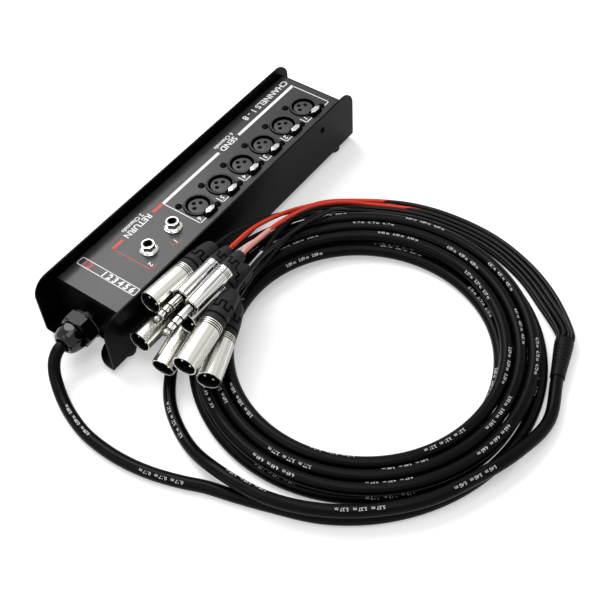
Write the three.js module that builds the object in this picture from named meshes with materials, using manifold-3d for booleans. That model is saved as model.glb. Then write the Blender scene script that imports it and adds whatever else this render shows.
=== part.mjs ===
// Stage box snake: a folded steel stage box with six latching audio sockets and two jack sockets, and
// a trunk cable that leaves its gland, lies in a wound coil and splits into eight tails with plugs.
// Millimetres, +X from the gland end to the back, +Y to the far wall, +Z up, floor at z = 0, and the
// origin at the middle of the box's footprint.
import * as THREE from "three";
import { mergeVertices } from "three/addons/utils/BufferGeometryUtils.js";
import Module from "manifold-3d";

const wasm = await Module();
wasm.setup();

const weld = 0.001;
const touchGap = 0.3; // left between two pieces that rest on each other

const steelBlack = { color: 0x17181a, metalness: 0.3, roughness: 0.55 };
const steelGrey = { color: 0x4b4c4f, metalness: 0.3, roughness: 0.5 };
const rubberBlack = { color: 0x101011, metalness: 0, roughness: 0.8 };
const jacketBlack = { color: 0x16171a, metalness: 0, roughness: 0.6 };
const jacketRed = { color: 0xb3201c, metalness: 0, roughness: 0.6 };
const plasticGrey = { color: 0x3c3d40, metalness: 0, roughness: 0.6 };
const nickel = { color: 0xc9c6bf, metalness: 1, roughness: 0.25 };

const part = new THREE.Group();
part.name = "stage_box_snake";

// Turns a surface into a solid whose touching corners are one.
function solid(geometry) {
  const loose = geometry.index ? geometry.toNonIndexed() : geometry;
  const bare = new THREE.BufferGeometry();
  bare.setAttribute("position", loose.getAttribute("position"));
  const merged = mergeVertices(bare, weld);
  const triVerts = new Uint32Array(merged.index.array);
  const vertProperties = merged.attributes.position.array;
  return new wasm.Manifold(new wasm.Mesh({ numProp: 3, vertProperties, triVerts }));
}

// Turns a solid back into a surface that a mesh can carry.
function surface(body) {
  const { numProp, numVert, vertProperties, triVerts } = body.getMesh();
  const positions = new Float32Array(numVert * 3);
  for (let i = 0; i < numVert; i += 1) {
    positions.set(vertProperties.subarray(i * numProp, i * numProp + 3), i * 3);
  }
  const geometry = new THREE.BufferGeometry();
  geometry.setAttribute("position", new THREE.BufferAttribute(positions, 3));
  geometry.setIndex(new THREE.BufferAttribute(new Uint32Array(triVerts), 1));
  return geometry;
}

// Adds one named piece to the part, placed by a matrix.
function place(name, geometry, look, matrix = new THREE.Matrix4()) {
  const mesh = new THREE.Mesh(geometry, new THREE.MeshStandardMaterial(look));
  mesh.name = name;
  mesh.applyMatrix4(matrix);
  part.add(mesh);
}

function moved(x, y, z) {
  return new THREE.Matrix4().makeTranslation(x, y, z);
}

// A block between two corners.
function block([x0, y0, z0], [x1, y1, z1]) {
  const geometry = new THREE.BoxGeometry(x1 - x0, y1 - y0, z1 - z0);
  geometry.translate((x0 + x1) / 2, (y0 + y1) / 2, (z0 + z1) / 2);
  return solid(geometry);
}

// A profile of [radius, height] points, closed on the axis or on itself, turned about +Z.
function turned(profile, sides, phase = 0) {
  const points = profile.map(([r, z]) => new THREE.Vector2(r, z));
  if (THREE.ShapeUtils.area(points) < 0) points.reverse();
  if (points[0].x > 0 || points[points.length - 1].x > 0) points.push(points[0].clone());
  const geometry = new THREE.LatheGeometry(points, sides, phase);
  geometry.rotateX(Math.PI / 2);
  return solid(geometry);
}

// A flat outline given thickness along +Z.
function slab(shape, base, top, curveSegments = 6) {
  const geometry = new THREE.ExtrudeGeometry(shape, {
    depth: top - base,
    bevelEnabled: false,
    curveSegments,
  });
  geometry.translate(0, 0, base);
  return solid(geometry);
}

// A rectangle with round corners, centred on the origin.
function roundedRectangle(width, height, radius) {
  const x = width / 2;
  const y = height / 2;
  const shape = new THREE.Shape();
  shape.moveTo(radius - x, -y);
  shape.absarc(x - radius, radius - y, radius, -Math.PI / 2, 0);
  shape.absarc(x - radius, y - radius, radius, 0, Math.PI / 2);
  shape.absarc(radius - x, y - radius, radius, Math.PI / 2, Math.PI);
  shape.absarc(radius - x, radius - y, radius, Math.PI, 1.5 * Math.PI);
  return shape;
}

// A round tube along a curve.
function tube(curve, radius, sides, steps) {
  const corners = [];
  for (let i = 0; i < sides; i += 1) {
    const angle = (2 * Math.PI * i) / sides;
    corners.push(new THREE.Vector2(radius * Math.cos(angle), radius * Math.sin(angle)));
  }
  const section = new THREE.Shape(corners);
  return new THREE.ExtrudeGeometry(section, {
    steps,
    bevelEnabled: false,
    extrudePath: curve,
  });
}

function smooth(points) {
  return new THREE.CatmullRomCurve3(points, false, "centripetal");
}

// Folded chassis: a floor and two tall side walls from one sheet.
const sheet = 1.5;
const boxWidth = 71;
const wallLength = 311;
const wallBase = 5;
const wallTop = 55.6;
const wallCornerRadius = 14.5;
const wallEnd = wallLength / 2;
const wallFace = boxWidth / 2;
const floorTabRadius = 17.5;
const floorTabSide = 6; // straight part of a tab's edge beside the wall
const rearTabRadius = 7;

// The floor's outline, with a round-cornered tab beside each wall at both ends.
function floorOutline() {
  const shape = new THREE.Shape();
  const frontX = floorTabRadius - wallEnd;
  const rearX = wallEnd - rearTabRadius;
  const tabY = wallFace - floorTabSide;
  shape.moveTo(-wallEnd, wallFace);
  shape.absarc(frontX, tabY, floorTabRadius, Math.PI, 1.5 * Math.PI);
  shape.absarc(frontX, -tabY, floorTabRadius, Math.PI / 2, Math.PI);
  shape.lineTo(-wallEnd, -wallFace);
  shape.lineTo(wallEnd, -wallFace);
  shape.absarc(rearX, -tabY, rearTabRadius, 0, Math.PI / 2);
  shape.absarc(rearX, tabY, rearTabRadius, 1.5 * Math.PI, 2 * Math.PI);
  shape.lineTo(wallEnd, wallFace);
  return shape;
}

function wallOutline() {
  const shape = new THREE.Shape();
  const turnX = wallEnd - wallCornerRadius;
  const turnZ = wallTop - wallCornerRadius;
  shape.moveTo(-wallEnd, wallBase);
  shape.lineTo(wallEnd, wallBase);
  shape.absarc(turnX, turnZ, wallCornerRadius, 0, Math.PI / 2);
  shape.absarc(-turnX, turnZ, wallCornerRadius, Math.PI / 2, Math.PI);
  return shape;
}

function chassis() {
  const depth = sheet;
  const wall = new THREE.ExtrudeGeometry(wallOutline(), {
    depth,
    bevelEnabled: false,
    curveSegments: 8,
  });
  wall.rotateX(Math.PI / 2);
  const near = solid(wall.clone().translate(0, sheet - wallFace, 0));
  const far = solid(wall.clone().translate(0, wallFace, 0));
  return slab(floorOutline(), wallBase, wallBase + sheet, 6).add(near).add(far);
}

// Top panel: an inverted tray between the walls, with end plates and side flanges.
const panelTop = 45.8;
const panelFront = -135.5;
const panelBack = 148.5;
const panelSide = wallFace - sheet - touchGap;
const panelFlange = 14;
const panelFoot = wallBase + sheet + touchGap;
const panelUnder = panelTop - sheet;

const socketRadius = 11.8;
const socketHoleRadius = 12.1;
const socketPitch = 28;
const socketFirst = 122.8;
const socketLine = -7.1;
const socketCount = 6;
const hoodHalf = 6;
const hoodOuter = -15.7;
const hoodInner = -9.3;
const jackHoleRadius = 5;
const jackPlaces = [-46.1, -74.3];
const jackLine = -6.2;
const glandHeight = 24.5;
const glandHoleRadius = 8;
const holeSides = 18;

function roundHole(x, y, radius, base, top) {
  const cutter = turned([[0, base], [radius, base], [radius, top], [0, top]], holeSides);
  return cutter.translate([x, y, 0]);
}

function topPanel() {
  const length = [panelFront, panelBack];
  const above = panelTop + sheet;
  const below = panelUnder - sheet;
  let body = block([length[0], -panelSide, panelUnder], [length[1], panelSide, panelTop]);
  for (const side of [-1, 1]) {
    const faces = [side * panelSide, side * (panelSide - sheet)].sort((a, b) => a - b);
    const flange = block(
      [length[0], faces[0], panelTop - panelFlange],
      [length[1], faces[1], panelTop],
    );
    body = body.add(flange);
  }
  for (const start of [length[0], length[1] - sheet]) {
    const end = block([start, -panelSide, panelFoot], [start + sheet, panelSide, panelTop]);
    body = body.add(end);
  }
  for (let i = 0; i < socketCount; i += 1) {
    const x = socketFirst - i * socketPitch;
    const half = hoodHalf + touchGap;
    const hood = block(
      [x - half, socketLine + hoodOuter - touchGap, below],
      [x + half, socketLine + hoodInner, above],
    );
    body = body.subtract(roundHole(x, socketLine, socketHoleRadius, below, above)).subtract(hood);
  }
  for (const x of jackPlaces) {
    body = body.subtract(roundHole(x, jackLine, jackHoleRadius, below, above));
  }
  const bore = turned(
    [[0, -sheet], [glandHoleRadius, -sheet], [glandHoleRadius, 2 * sheet], [0, 2 * sheet]],
    holeSides,
  );
  return body.subtract(bore.rotate([0, 90, 0]).translate([panelFront, 0, glandHeight]));
}

place("chassis", surface(chassis()), steelBlack);
place("top_panel", surface(topPanel()), steelGrey);

// Four rubber feet under the floor.
const footRadius = 6.5;
const footChamfer = 0.9;
const footHeight = wallBase - touchGap;
const footFrontInset = 22;
const footBackInset = 21;
const footSideInset = 7.8;
const footFrontX = footFrontInset - wallEnd;
const footBackX = wallEnd - footBackInset;
const footLine = wallFace - footSideInset;

function foot() {
  return turned(
    [
      [0, 0],
      [footRadius - footChamfer, 0],
      [footRadius, footChamfer],
      [footRadius, footHeight],
      [0, footHeight],
    ],
    16,
  );
}

const footSurface = surface(foot());
place("foot_front_near", footSurface, rubberBlack, moved(footFrontX, -footLine, 0));
place("foot_front_far", footSurface, rubberBlack, moved(footFrontX, footLine, 0));
place("foot_back_near", footSurface, rubberBlack, moved(footBackX, -footLine, 0));
place("foot_back_far", footSurface, rubberBlack, moved(footBackX, footLine, 0));

// Cable gland, drawn along +Z from the end plate's outer face and laid along -X.
const cableRadius = 4.7;
const glandBore = 5.1;
const glandThread = 7.6;
const glandThreadInside = 8;
const glandBase = 9.2;
const glandBaseTop = 7.6;
const glandCollar = 13;
const glandCollarTop = 9;
const glandHex = 13; // half of the distance across the flats
const glandHexTop = 19.5;
const glandNeck = 9;
const glandNeckTop = 25;
const glandBoreFloor = 10;
const nutStart = glandHexTop + touchGap;
const nutRadius = 12;
const nutShoulder = 26;
const nutEnd = 33;
const nutMouth = 7.6;
const nutFlare = 6.4;
const lockThickness = 5;
const lockHex = 11;
const hexCorner = 2 / Math.sqrt(3);

// A hexagonal prism, with a flat toward +X unless it is turned.
function hexPrism(half, base, top, phase = 0) {
  const radius = half * hexCorner;
  return turned([[0, base], [radius, base], [radius, top], [0, top]], 6, phase);
}

function glandBody() {
  const trunk = turned(
    [
      [0, -glandThreadInside],
      [glandThread, -glandThreadInside],
      [glandThread, touchGap],
      [glandBase, touchGap],
      [glandBase, glandBaseTop],
      [glandCollar, glandBaseTop],
      [glandCollar, glandCollarTop],
      [glandNeck, glandCollarTop],
      [glandNeck, glandNeckTop],
      [glandBore, glandNeckTop],
      [glandBore, glandBoreFloor],
      [0, glandBoreFloor],
    ],
    18,
  );
  const ring = hexPrism(glandHex, glandCollarTop, glandHexTop);
  const core = turned(
    [
      [0, glandCollarTop - sheet],
      [glandNeck, glandCollarTop - sheet],
      [glandNeck, glandNeckTop],
      [0, glandNeckTop],
    ],
    18,
  );
  return trunk.add(ring.subtract(core));
}

function glandNut() {
  return turned(
    [
      [nutRadius, nutStart],
      [nutRadius, nutShoulder],
      [nutMouth + sheet, nutEnd - sheet],
      [nutMouth, nutEnd],
      [nutFlare, nutEnd],
      [glandBore, nutShoulder + sheet],
      [glandBore, glandNeckTop + touchGap],
      [glandNeck + touchGap, glandNeckTop + touchGap],
      [glandNeck + touchGap, nutStart],
    ],
    18,
  );
}

function glandLocknut() {
  const start = -sheet - touchGap;
  const inner = glandThread + touchGap;
  const hole = turned(
    [
      [0, start - lockThickness - sheet],
      [inner, start - lockThickness - sheet],
      [inner, start + sheet],
      [0, start + sheet],
    ],
    18,
  );
  return hexPrism(lockHex, start - lockThickness, start).subtract(hole);
}

const glandPlace = new THREE.Matrix4()
  .makeTranslation(panelFront, 0, glandHeight)
  .multiply(new THREE.Matrix4().makeRotationY(-Math.PI / 2));
place("gland_body", surface(glandBody()), jacketBlack, glandPlace);
place("gland_nut", surface(glandNut()), jacketBlack, glandPlace);
place("gland_locknut", surface(glandLocknut()), jacketBlack, glandPlace);

// Latching three-pole socket, drawn about its own axis with z = 0 on the panel's top face.
const socketTop = 1.5;
const socketDepth = 20;
const socketBore = 9.65;
const socketLip = 8;
const socketLipThickness = 1.2;
const socketChamfer = 0.5;
const flangeWidth = 26;
const flangeHeight = 31;
const flangeCorner = 3;
const flangeThickness = 2;
const hoodTop = 2.2;
const hoodDepth = 13;
const pocketHalf = 5.35;
const pocketOuter = -15.2;
const pocketInner = -10.2;
const pocketFloor = -0.6;
const slotHalf = 3.3;
const slotOuter = -13.5;
const slotInner = -11.7;
const slotFloor = -12.2;
const windowTop = -5.5;
const windowFloor = -10.2;
const windowInner = -8.5;

function socketShell() {
  const ring = turned(
    [
      [socketLip, -socketDepth],
      [socketRadius, -socketDepth],
      [socketRadius, socketTop - socketChamfer],
      [socketRadius - socketChamfer, socketTop],
      [socketBore, socketTop],
      [socketBore, socketLipThickness - socketDepth],
      [socketLip, socketLipThickness - socketDepth],
    ],
    18,
  );
  const core = turned(
    [[0, -socketDepth], [socketBore, -socketDepth], [socketBore, 2 * hoodTop], [0, 2 * hoodTop]],
    18,
  );
  const behind = -sheet - touchGap;
  const flange = slab(
    roundedRectangle(flangeWidth, flangeHeight, flangeCorner),
    behind - flangeThickness,
    behind,
    2,
  );
  const hood = block([-hoodHalf, hoodOuter, -hoodDepth], [hoodHalf, hoodInner, hoodTop]);
  const pocket = block(
    [-pocketHalf, pocketOuter, pocketFloor],
    [pocketHalf, pocketInner, hoodTop + sheet],
  );
  const slot = block([-slotHalf, slotOuter, slotFloor], [slotHalf, slotInner, hoodTop]);
  const opening = block([-slotHalf, slotOuter, windowFloor], [slotHalf, windowInner, windowTop]);
  const skirt = flange.add(hood).subtract(core);
  return ring.add(skirt).subtract(pocket).subtract(slot).subtract(opening);
}

const insertRadius = 7.7;
const insertTop = -0.8;
const insertBase = 9.3;
const insertBaseTop = -15.2;
const insertBaseFloor = socketLipThickness + touchGap - socketDepth;
const contactRadius = 1.35;
const contactDepth = 12;
const contactPlaces = [[-3.8, 0.6], [3.8, 0.6], [0, 4.6]];
const cupRadius = 1.2;
const cupEnd = -23;

function socketInsert() {
  let body = turned(
    [
      [0, insertBaseFloor],
      [insertBase, insertBaseFloor],
      [insertBase, insertBaseTop],
      [insertRadius, insertBaseTop],
      [insertRadius, insertTop],
      [0, insertTop],
    ],
    16,
  );
  for (const [x, y] of contactPlaces) {
    const floor = insertTop - contactDepth;
    const hole = turned(
      [[0, floor], [contactRadius, floor], [contactRadius, sheet], [0, sheet]],
      8,
    );
    const cup = turned(
      [[0, cupEnd], [cupRadius, cupEnd], [cupRadius, insertBaseTop], [0, insertBaseTop]],
      6,
    );
    body = body.add(cup.translate([x, y, 0])).subtract(hole.translate([x, y, 0]));
  }
  return body;
}

const tabHalf = 5;
const tabDepth = 4.4;
const tabMiddle = -12.7;
const tabBase = 1.6;
const tabTop = 4.2;
const tabCornerRadius = 1.6;
const stemHalf = 3;
const stemOuter = -13.2;
const stemInner = -12;
const stemEnd = -10;
const hookReach = -8.9;
const hookTop = -6;
const hookFloor = -8;

function socketLatch() {
  const tab = slab(
    roundedRectangle(2 * tabHalf, tabDepth, tabCornerRadius),
    tabBase,
    tabTop,
    2,
  ).translate([0, tabMiddle, 0]);
  const stem = block([-stemHalf, stemOuter, stemEnd], [stemHalf, stemInner, tabBase + sheet]);
  const hook = block([-stemHalf, stemOuter, hookFloor], [stemHalf, hookReach, hookTop]);
  return tab.add(stem).add(hook);
}

const shellSurface = surface(socketShell());
const insertSurface = surface(socketInsert());
const latchSurface = surface(socketLatch());
for (let i = 0; i < socketCount; i += 1) {
  const spot = moved(socketFirst - i * socketPitch, socketLine, panelTop);
  place(`xlr_socket_${i + 1}_shell`, shellSurface, steelBlack, spot);
  place(`xlr_socket_${i + 1}_insert`, insertSurface, plasticGrey, spot);
  place(`xlr_socket_${i + 1}_latch`, latchSurface, nickel, spot);
}

// Jack socket: a moulded body under the panel and a threaded bushing through it, held by a hex nut.
const jackBodyHalf = 8;
const jackBodyDepth = 22;
const jackBushing = 4.7;
const jackBushingTop = 6.4;
const jackBore = 3.3;
const jackMouth = 3.9;
const jackMouthDepth = 0.8;
const jackWasher = 7.2;
const jackWasherTop = 1.3;
const jackNutHalf = 5.9;
const jackNutTop = 4.2;

function jackSocket() {
  const under = -sheet - touchGap;
  const body = block(
    [-jackBodyHalf, -jackBodyHalf, -jackBodyDepth],
    [jackBodyHalf, jackBodyHalf, under],
  );
  const bushing = turned(
    [
      [0, under - sheet],
      [jackBushing, under - sheet],
      [jackBushing, jackBushingTop],
      [0, jackBushingTop],
    ],
    18,
  );
  const bore = turned(
    [
      [0, sheet - jackBodyDepth],
      [jackBore, sheet - jackBodyDepth],
      [jackBore, jackBushingTop - jackMouthDepth],
      [jackMouth, jackBushingTop],
      [jackMouth, jackBushingTop + sheet],
      [0, jackBushingTop + sheet],
    ],
    16,
  );
  return body.add(bushing).subtract(bore);
}

function jackNut() {
  const washer = turned(
    [[0, touchGap], [jackWasher, touchGap], [jackWasher, jackWasherTop], [0, jackWasherTop]],
    18,
  );
  const hole = turned(
    [
      [0, -sheet],
      [jackBushing + touchGap, -sheet],
      [jackBushing + touchGap, jackNutTop + sheet],
      [0, jackNutTop + sheet],
    ],
    18,
  );
  const hexagon = hexPrism(jackNutHalf, jackWasherTop - touchGap, jackNutTop, Math.PI / 6);
  return washer.add(hexagon).subtract(hole);
}

const jackSurface = surface(jackSocket());
const jackNutSurface = surface(jackNut());
jackPlaces.forEach((x, i) => {
  place(`jack_${i + 1}`, jackSurface, plasticGrey, moved(x, jackLine, panelTop));
  place(`jack_${i + 1}_nut`, jackNutSurface, nickel, moved(x, jackLine, panelTop));
});

// Wound trunk: a lower layer spirals in, climbs in the half turn where it reverses, spirals out on
// top, and its last turn slides off the outer edge down to the floor and ends at the breakout.
const coilX = -37.2;
const coilY = -175.7;
const coilStart = 188; // azimuth in degrees, seen from above
const coilStepsPerTurn = 24;
const coilPitch = 9.9;
const coilOuter = 133;
const coilLeadIn = 10;
const coilLeadInSteps = 6;
const coilLowerSteps = 81;
const coilClimbSteps = 12;
const coilUpperSteps = 69;
const coilRest = 4.8;
const coilDip = 2;
// The last turn, one entry per step: radius, and height over the lower layer's strands.
const lastTurn = [
  [133, 8.2],
  [139.8, 2.6],
  [146, 0],
  [146.5, 0.8],
  [145.5, 9.9],
  [143, 9.9],
  [139.5, 9.9],
  [136.6, 9.9],
  [135.3, 9.9],
  [134.5, 9.9],
  [138, 8],
  [143, 2.9],
  [141, 2.9],
];

function polar(azimuth, radius, height) {
  const angle = THREE.MathUtils.degToRad(azimuth);
  return new THREE.Vector3(
    coilX + radius * Math.cos(angle),
    coilY + radius * Math.sin(angle),
    height,
  );
}

function coilStation(step) {
  const turns = step / coilStepsPerTurn;
  const azimuth = coilStart + 360 * turns;
  const inner = coilOuter - (coilPitch * coilLowerSteps) / coilStepsPerTurn;
  const climbEnd = coilLowerSteps + coilClimbSteps;
  const upperEnd = climbEnd + coilUpperSteps;
  if (step <= coilLowerSteps) {
    const left = Math.max(0, 1 - step / coilLeadInSteps);
    return polar(azimuth, coilOuter - coilPitch * turns + coilLeadIn * left * left, coilRest);
  }
  if (step < climbEnd) {
    const share = (step - coilLowerSteps) / coilClimbSteps;
    const rise = (coilPitch * (1 - Math.cos(Math.PI * share))) / 2;
    return polar(azimuth, inner - coilDip * Math.sin(Math.PI * share), coilRest + rise);
  }
  if (step <= upperEnd) {
    const radius = inner + (coilPitch * (step - climbEnd)) / coilStepsPerTurn;
    return polar(azimuth, radius, coilRest + coilPitch);
  }
  const [radius, rise] = lastTurn[step - upperEnd - 1];
  return polar(azimuth, radius, coilRest + rise);
}

// A path through stations that are an equal share of the way apart, straight between them.
class WoundPath extends THREE.Curve {
  constructor(stations) {
    super();
    this.stations = stations;
  }

  getUtoTmapping(u) {
    return u;
  }

  getPoint(t, target = new THREE.Vector3()) {
    const last = this.stations.length - 1;
    const along = t * last;
    const i = Math.min(Math.floor(along), last - 1);
    return target.lerpVectors(this.stations[i], this.stations[i + 1], along - i);
  }
}

const coilSteps = coilLowerSteps + coilClimbSteps + coilUpperSteps + lastTurn.length;
const stations = [];
for (let i = 0; i <= coilSteps; i += 1) stations.push(coilStation(i));

// Least clear distance between strands of the coil, over points more than half a turn apart.
function leastGap(points, diameter) {
  const fine = [];
  for (let i = 0; i + 1 < points.length; i += 1) {
    for (const share of [0, 0.25, 0.5, 0.75]) {
      fine.push(new THREE.Vector3().lerpVectors(points[i], points[i + 1], share));
    }
  }
  const apart = 2 * coilStepsPerTurn;
  let least = Infinity;
  for (let i = 0; i < fine.length; i += 1) {
    for (let j = i + apart; j < fine.length; j += 1) {
      least = Math.min(least, fine[i].distanceTo(fine[j]) - diameter);
    }
  }
  return least;
}

let coilLength = 0;
for (let i = 0; i < coilSteps; i += 1) coilLength += stations[i].distanceTo(stations[i + 1]);
console.log(`coil least gap ${leastGap(stations, 2 * cableRadius).toFixed(3)} mm`);
const coilTurns = coilSteps / coilStepsPerTurn;
console.log(`coil length ${coilLength.toFixed(0)} mm, ${coilTurns.toFixed(2)} turns`);
place("trunk_coil", tube(new WoundPath(stations), cableRadius, 6, coilSteps), jacketBlack);

// Free lead from the gland to the coil's first station.
const leadSettle = 12; // straight stretch where two lengths of cable meet
const leadStart = panelFront - glandBoreFloor - touchGap;
const coilHeading = stations[1].clone().sub(stations[0]).normalize();
const leadRoute = [
  [leadStart, 0, glandHeight],
  [-157, 0, glandHeight],
  [-166, 0, glandHeight],
  [-173, -0.1, 24.2],
  [-179.5, -1.6, 20.6],
  [-185.5, -5.5, 14.2],
  [-192, -14.5, 8.2],
  [-198.5, -27, 5.4],
  [-203.5, -40, coilRest],
  [-207.7, -56, coilRest],
  [-209.4, -77.8, coilRest],
  [-208.2, -97.6, coilRest],
  [-204.7, -116, coilRest],
  [-198.7, -135.2, coilRest],
  [-191.6, -153.3, coilRest],
  [-186.9, -170, coilRest],
];

const leadPoints = leadRoute.map((p) => new THREE.Vector3(...p));
leadPoints.push(stations[0].clone().addScaledVector(coilHeading, -touchGap - leadSettle));
leadPoints.push(stations[0].clone().addScaledVector(coilHeading, -touchGap));
const leadCurve = smooth(leadPoints);
console.log(`lead length ${leadCurve.getLength().toFixed(0)} mm`);
place("trunk_lead", tube(leadCurve, cableRadius, 10, 27), jacketBlack);

// Breakout boot on the coil's last station, with the eight tails in a ring on its end face.
const breakoutLength = 34;
const breakoutSmall = 5.5;
const breakoutLarge = 7.1;
const breakoutCollar = 5;
const breakoutRing = 5.35;
const tailRadius = 1.75;
const tailCount = 8;
const tailSettle = 5;

function frameAt(point, heading) {
  const inward = new THREE.Vector3(-heading.y, heading.x, 0).normalize();
  const up = new THREE.Vector3().crossVectors(heading, inward).normalize();
  const turn = new THREE.Matrix4().makeBasis(inward, up, heading);
  return new THREE.Matrix4().setPosition(point).multiply(turn);
}

function breakoutBoot() {
  return turned(
    [
      [0, 0],
      [breakoutSmall, 0],
      [breakoutSmall, breakoutCollar],
      [breakoutLarge, breakoutLength - breakoutCollar],
      [breakoutLarge, breakoutLength],
      [0, breakoutLength],
    ],
    18,
  );
}

const coilTail = stations[coilSteps];
const tailHeading = coilTail.clone().sub(stations[coilSteps - 1]).normalize();
const breakoutPlace = frameAt(
  coilTail.clone().addScaledVector(tailHeading, touchGap),
  tailHeading,
);
place("breakout_boot", surface(breakoutBoot()), rubberBlack, breakoutPlace);

// Where a tail leaves the ring, a distance past the boot's end face.
function ringPoint(index, beyond) {
  const angle = (2 * Math.PI * (index + 0.5)) / tailCount;
  const point = new THREE.Vector3(
    breakoutRing * Math.cos(angle),
    breakoutRing * Math.sin(angle),
    breakoutLength + beyond,
  );
  return point.applyMatrix4(breakoutPlace);
}

// Three-pole cable plug, drawn along +X from its open mouth.
const plugRadius = 9.2;
const plugShellEnd = 39.5;
const plugMouth = 8.2;
const plugMouthDepth = 13;
const plugGrooveDepth = 0.45;
const plugGrooveStart = 33.8;
const plugGrooveEnd = 38.8;
const plugGrooveRun = 0.6;
const bootStart = plugShellEnd + touchGap;
const bootCollar = 9;
const bootCollarEnd = 44.3;
const bootNeck = 8.3;
const bootNeckEnd = 45.8;
const bootBelly = 8.9;
const bootBellyEnd = 52;
const bootWaist = 7.5;
const bootWaistEnd = 64;
const bootEndRadius = 5.5;
const bootEnd = 72;

function plugShell() {
  return turned(
    [
      [0, plugMouthDepth],
      [plugMouth, plugMouthDepth],
      [plugMouth, 0],
      [plugRadius, 0],
      [plugRadius, plugGrooveStart],
      [plugRadius - plugGrooveDepth, plugGrooveStart + plugGrooveRun],
      [plugRadius - plugGrooveDepth, plugGrooveEnd - plugGrooveRun],
      [plugRadius, plugGrooveEnd],
      [plugRadius, plugShellEnd],
      [0, plugShellEnd],
    ],
    16,
  );
}

function plugBoot() {
  return turned(
    [
      [0, bootStart],
      [bootCollar, bootStart],
      [bootCollar, bootCollarEnd],
      [bootNeck, bootCollarEnd + touchGap],
      [bootNeck, bootNeckEnd],
      [bootBelly, bootNeckEnd + touchGap],
      [bootBelly, bootBellyEnd],
      [bootWaist, bootWaistEnd],
      [bootEndRadius, bootEnd],
      [0, bootEnd],
    ],
    14,
  );
}

// Jack plug: a finger with its tip and a barrel, then a rubber boot.
const fingerRadius = 3.17;
const fingerTip = 1.2;
const fingerTipEnd = 0.8;
const fingerBulge = 2.9;
const fingerBulgeAt = 3.2;
const fingerNotch = 2.1;
const fingerNotchAt = 5.8;
const fingerShoulder = 6.9;
const fingerEnd = 28.6;
const barrelRing = 5.2;
const barrelRingEnd = 29.4;
const barrelRadius = 6.4;
const barrelEnd = 67.7;
const jackBootStart = barrelEnd + touchGap;
const jackBootRadius = 6.2;
const jackBootShoulder = 72;
const jackBootEndRadius = 3.8;
const jackBootEnd = 86;

function jackPlugShell() {
  return turned(
    [
      [0, 0],
      [fingerTip, 0],
      [fingerBulge, fingerBulgeAt - fingerTipEnd],
      [fingerBulge, fingerBulgeAt],
      [fingerNotch, fingerNotchAt],
      [fingerRadius, fingerShoulder],
      [fingerRadius, fingerEnd],
      [barrelRing, fingerEnd],
      [barrelRing, barrelRingEnd],
      [barrelRadius, barrelRingEnd],
      [barrelRadius, barrelEnd],
      [0, barrelEnd],
    ],
    16,
  );
}

function jackPlugBoot() {
  return turned(
    [
      [0, jackBootStart],
      [jackBootRadius, jackBootStart],
      [jackBootRadius, jackBootShoulder],
      [jackBootEndRadius, jackBootEnd],
      [0, jackBootEnd],
    ],
    16,
  );
}

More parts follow.
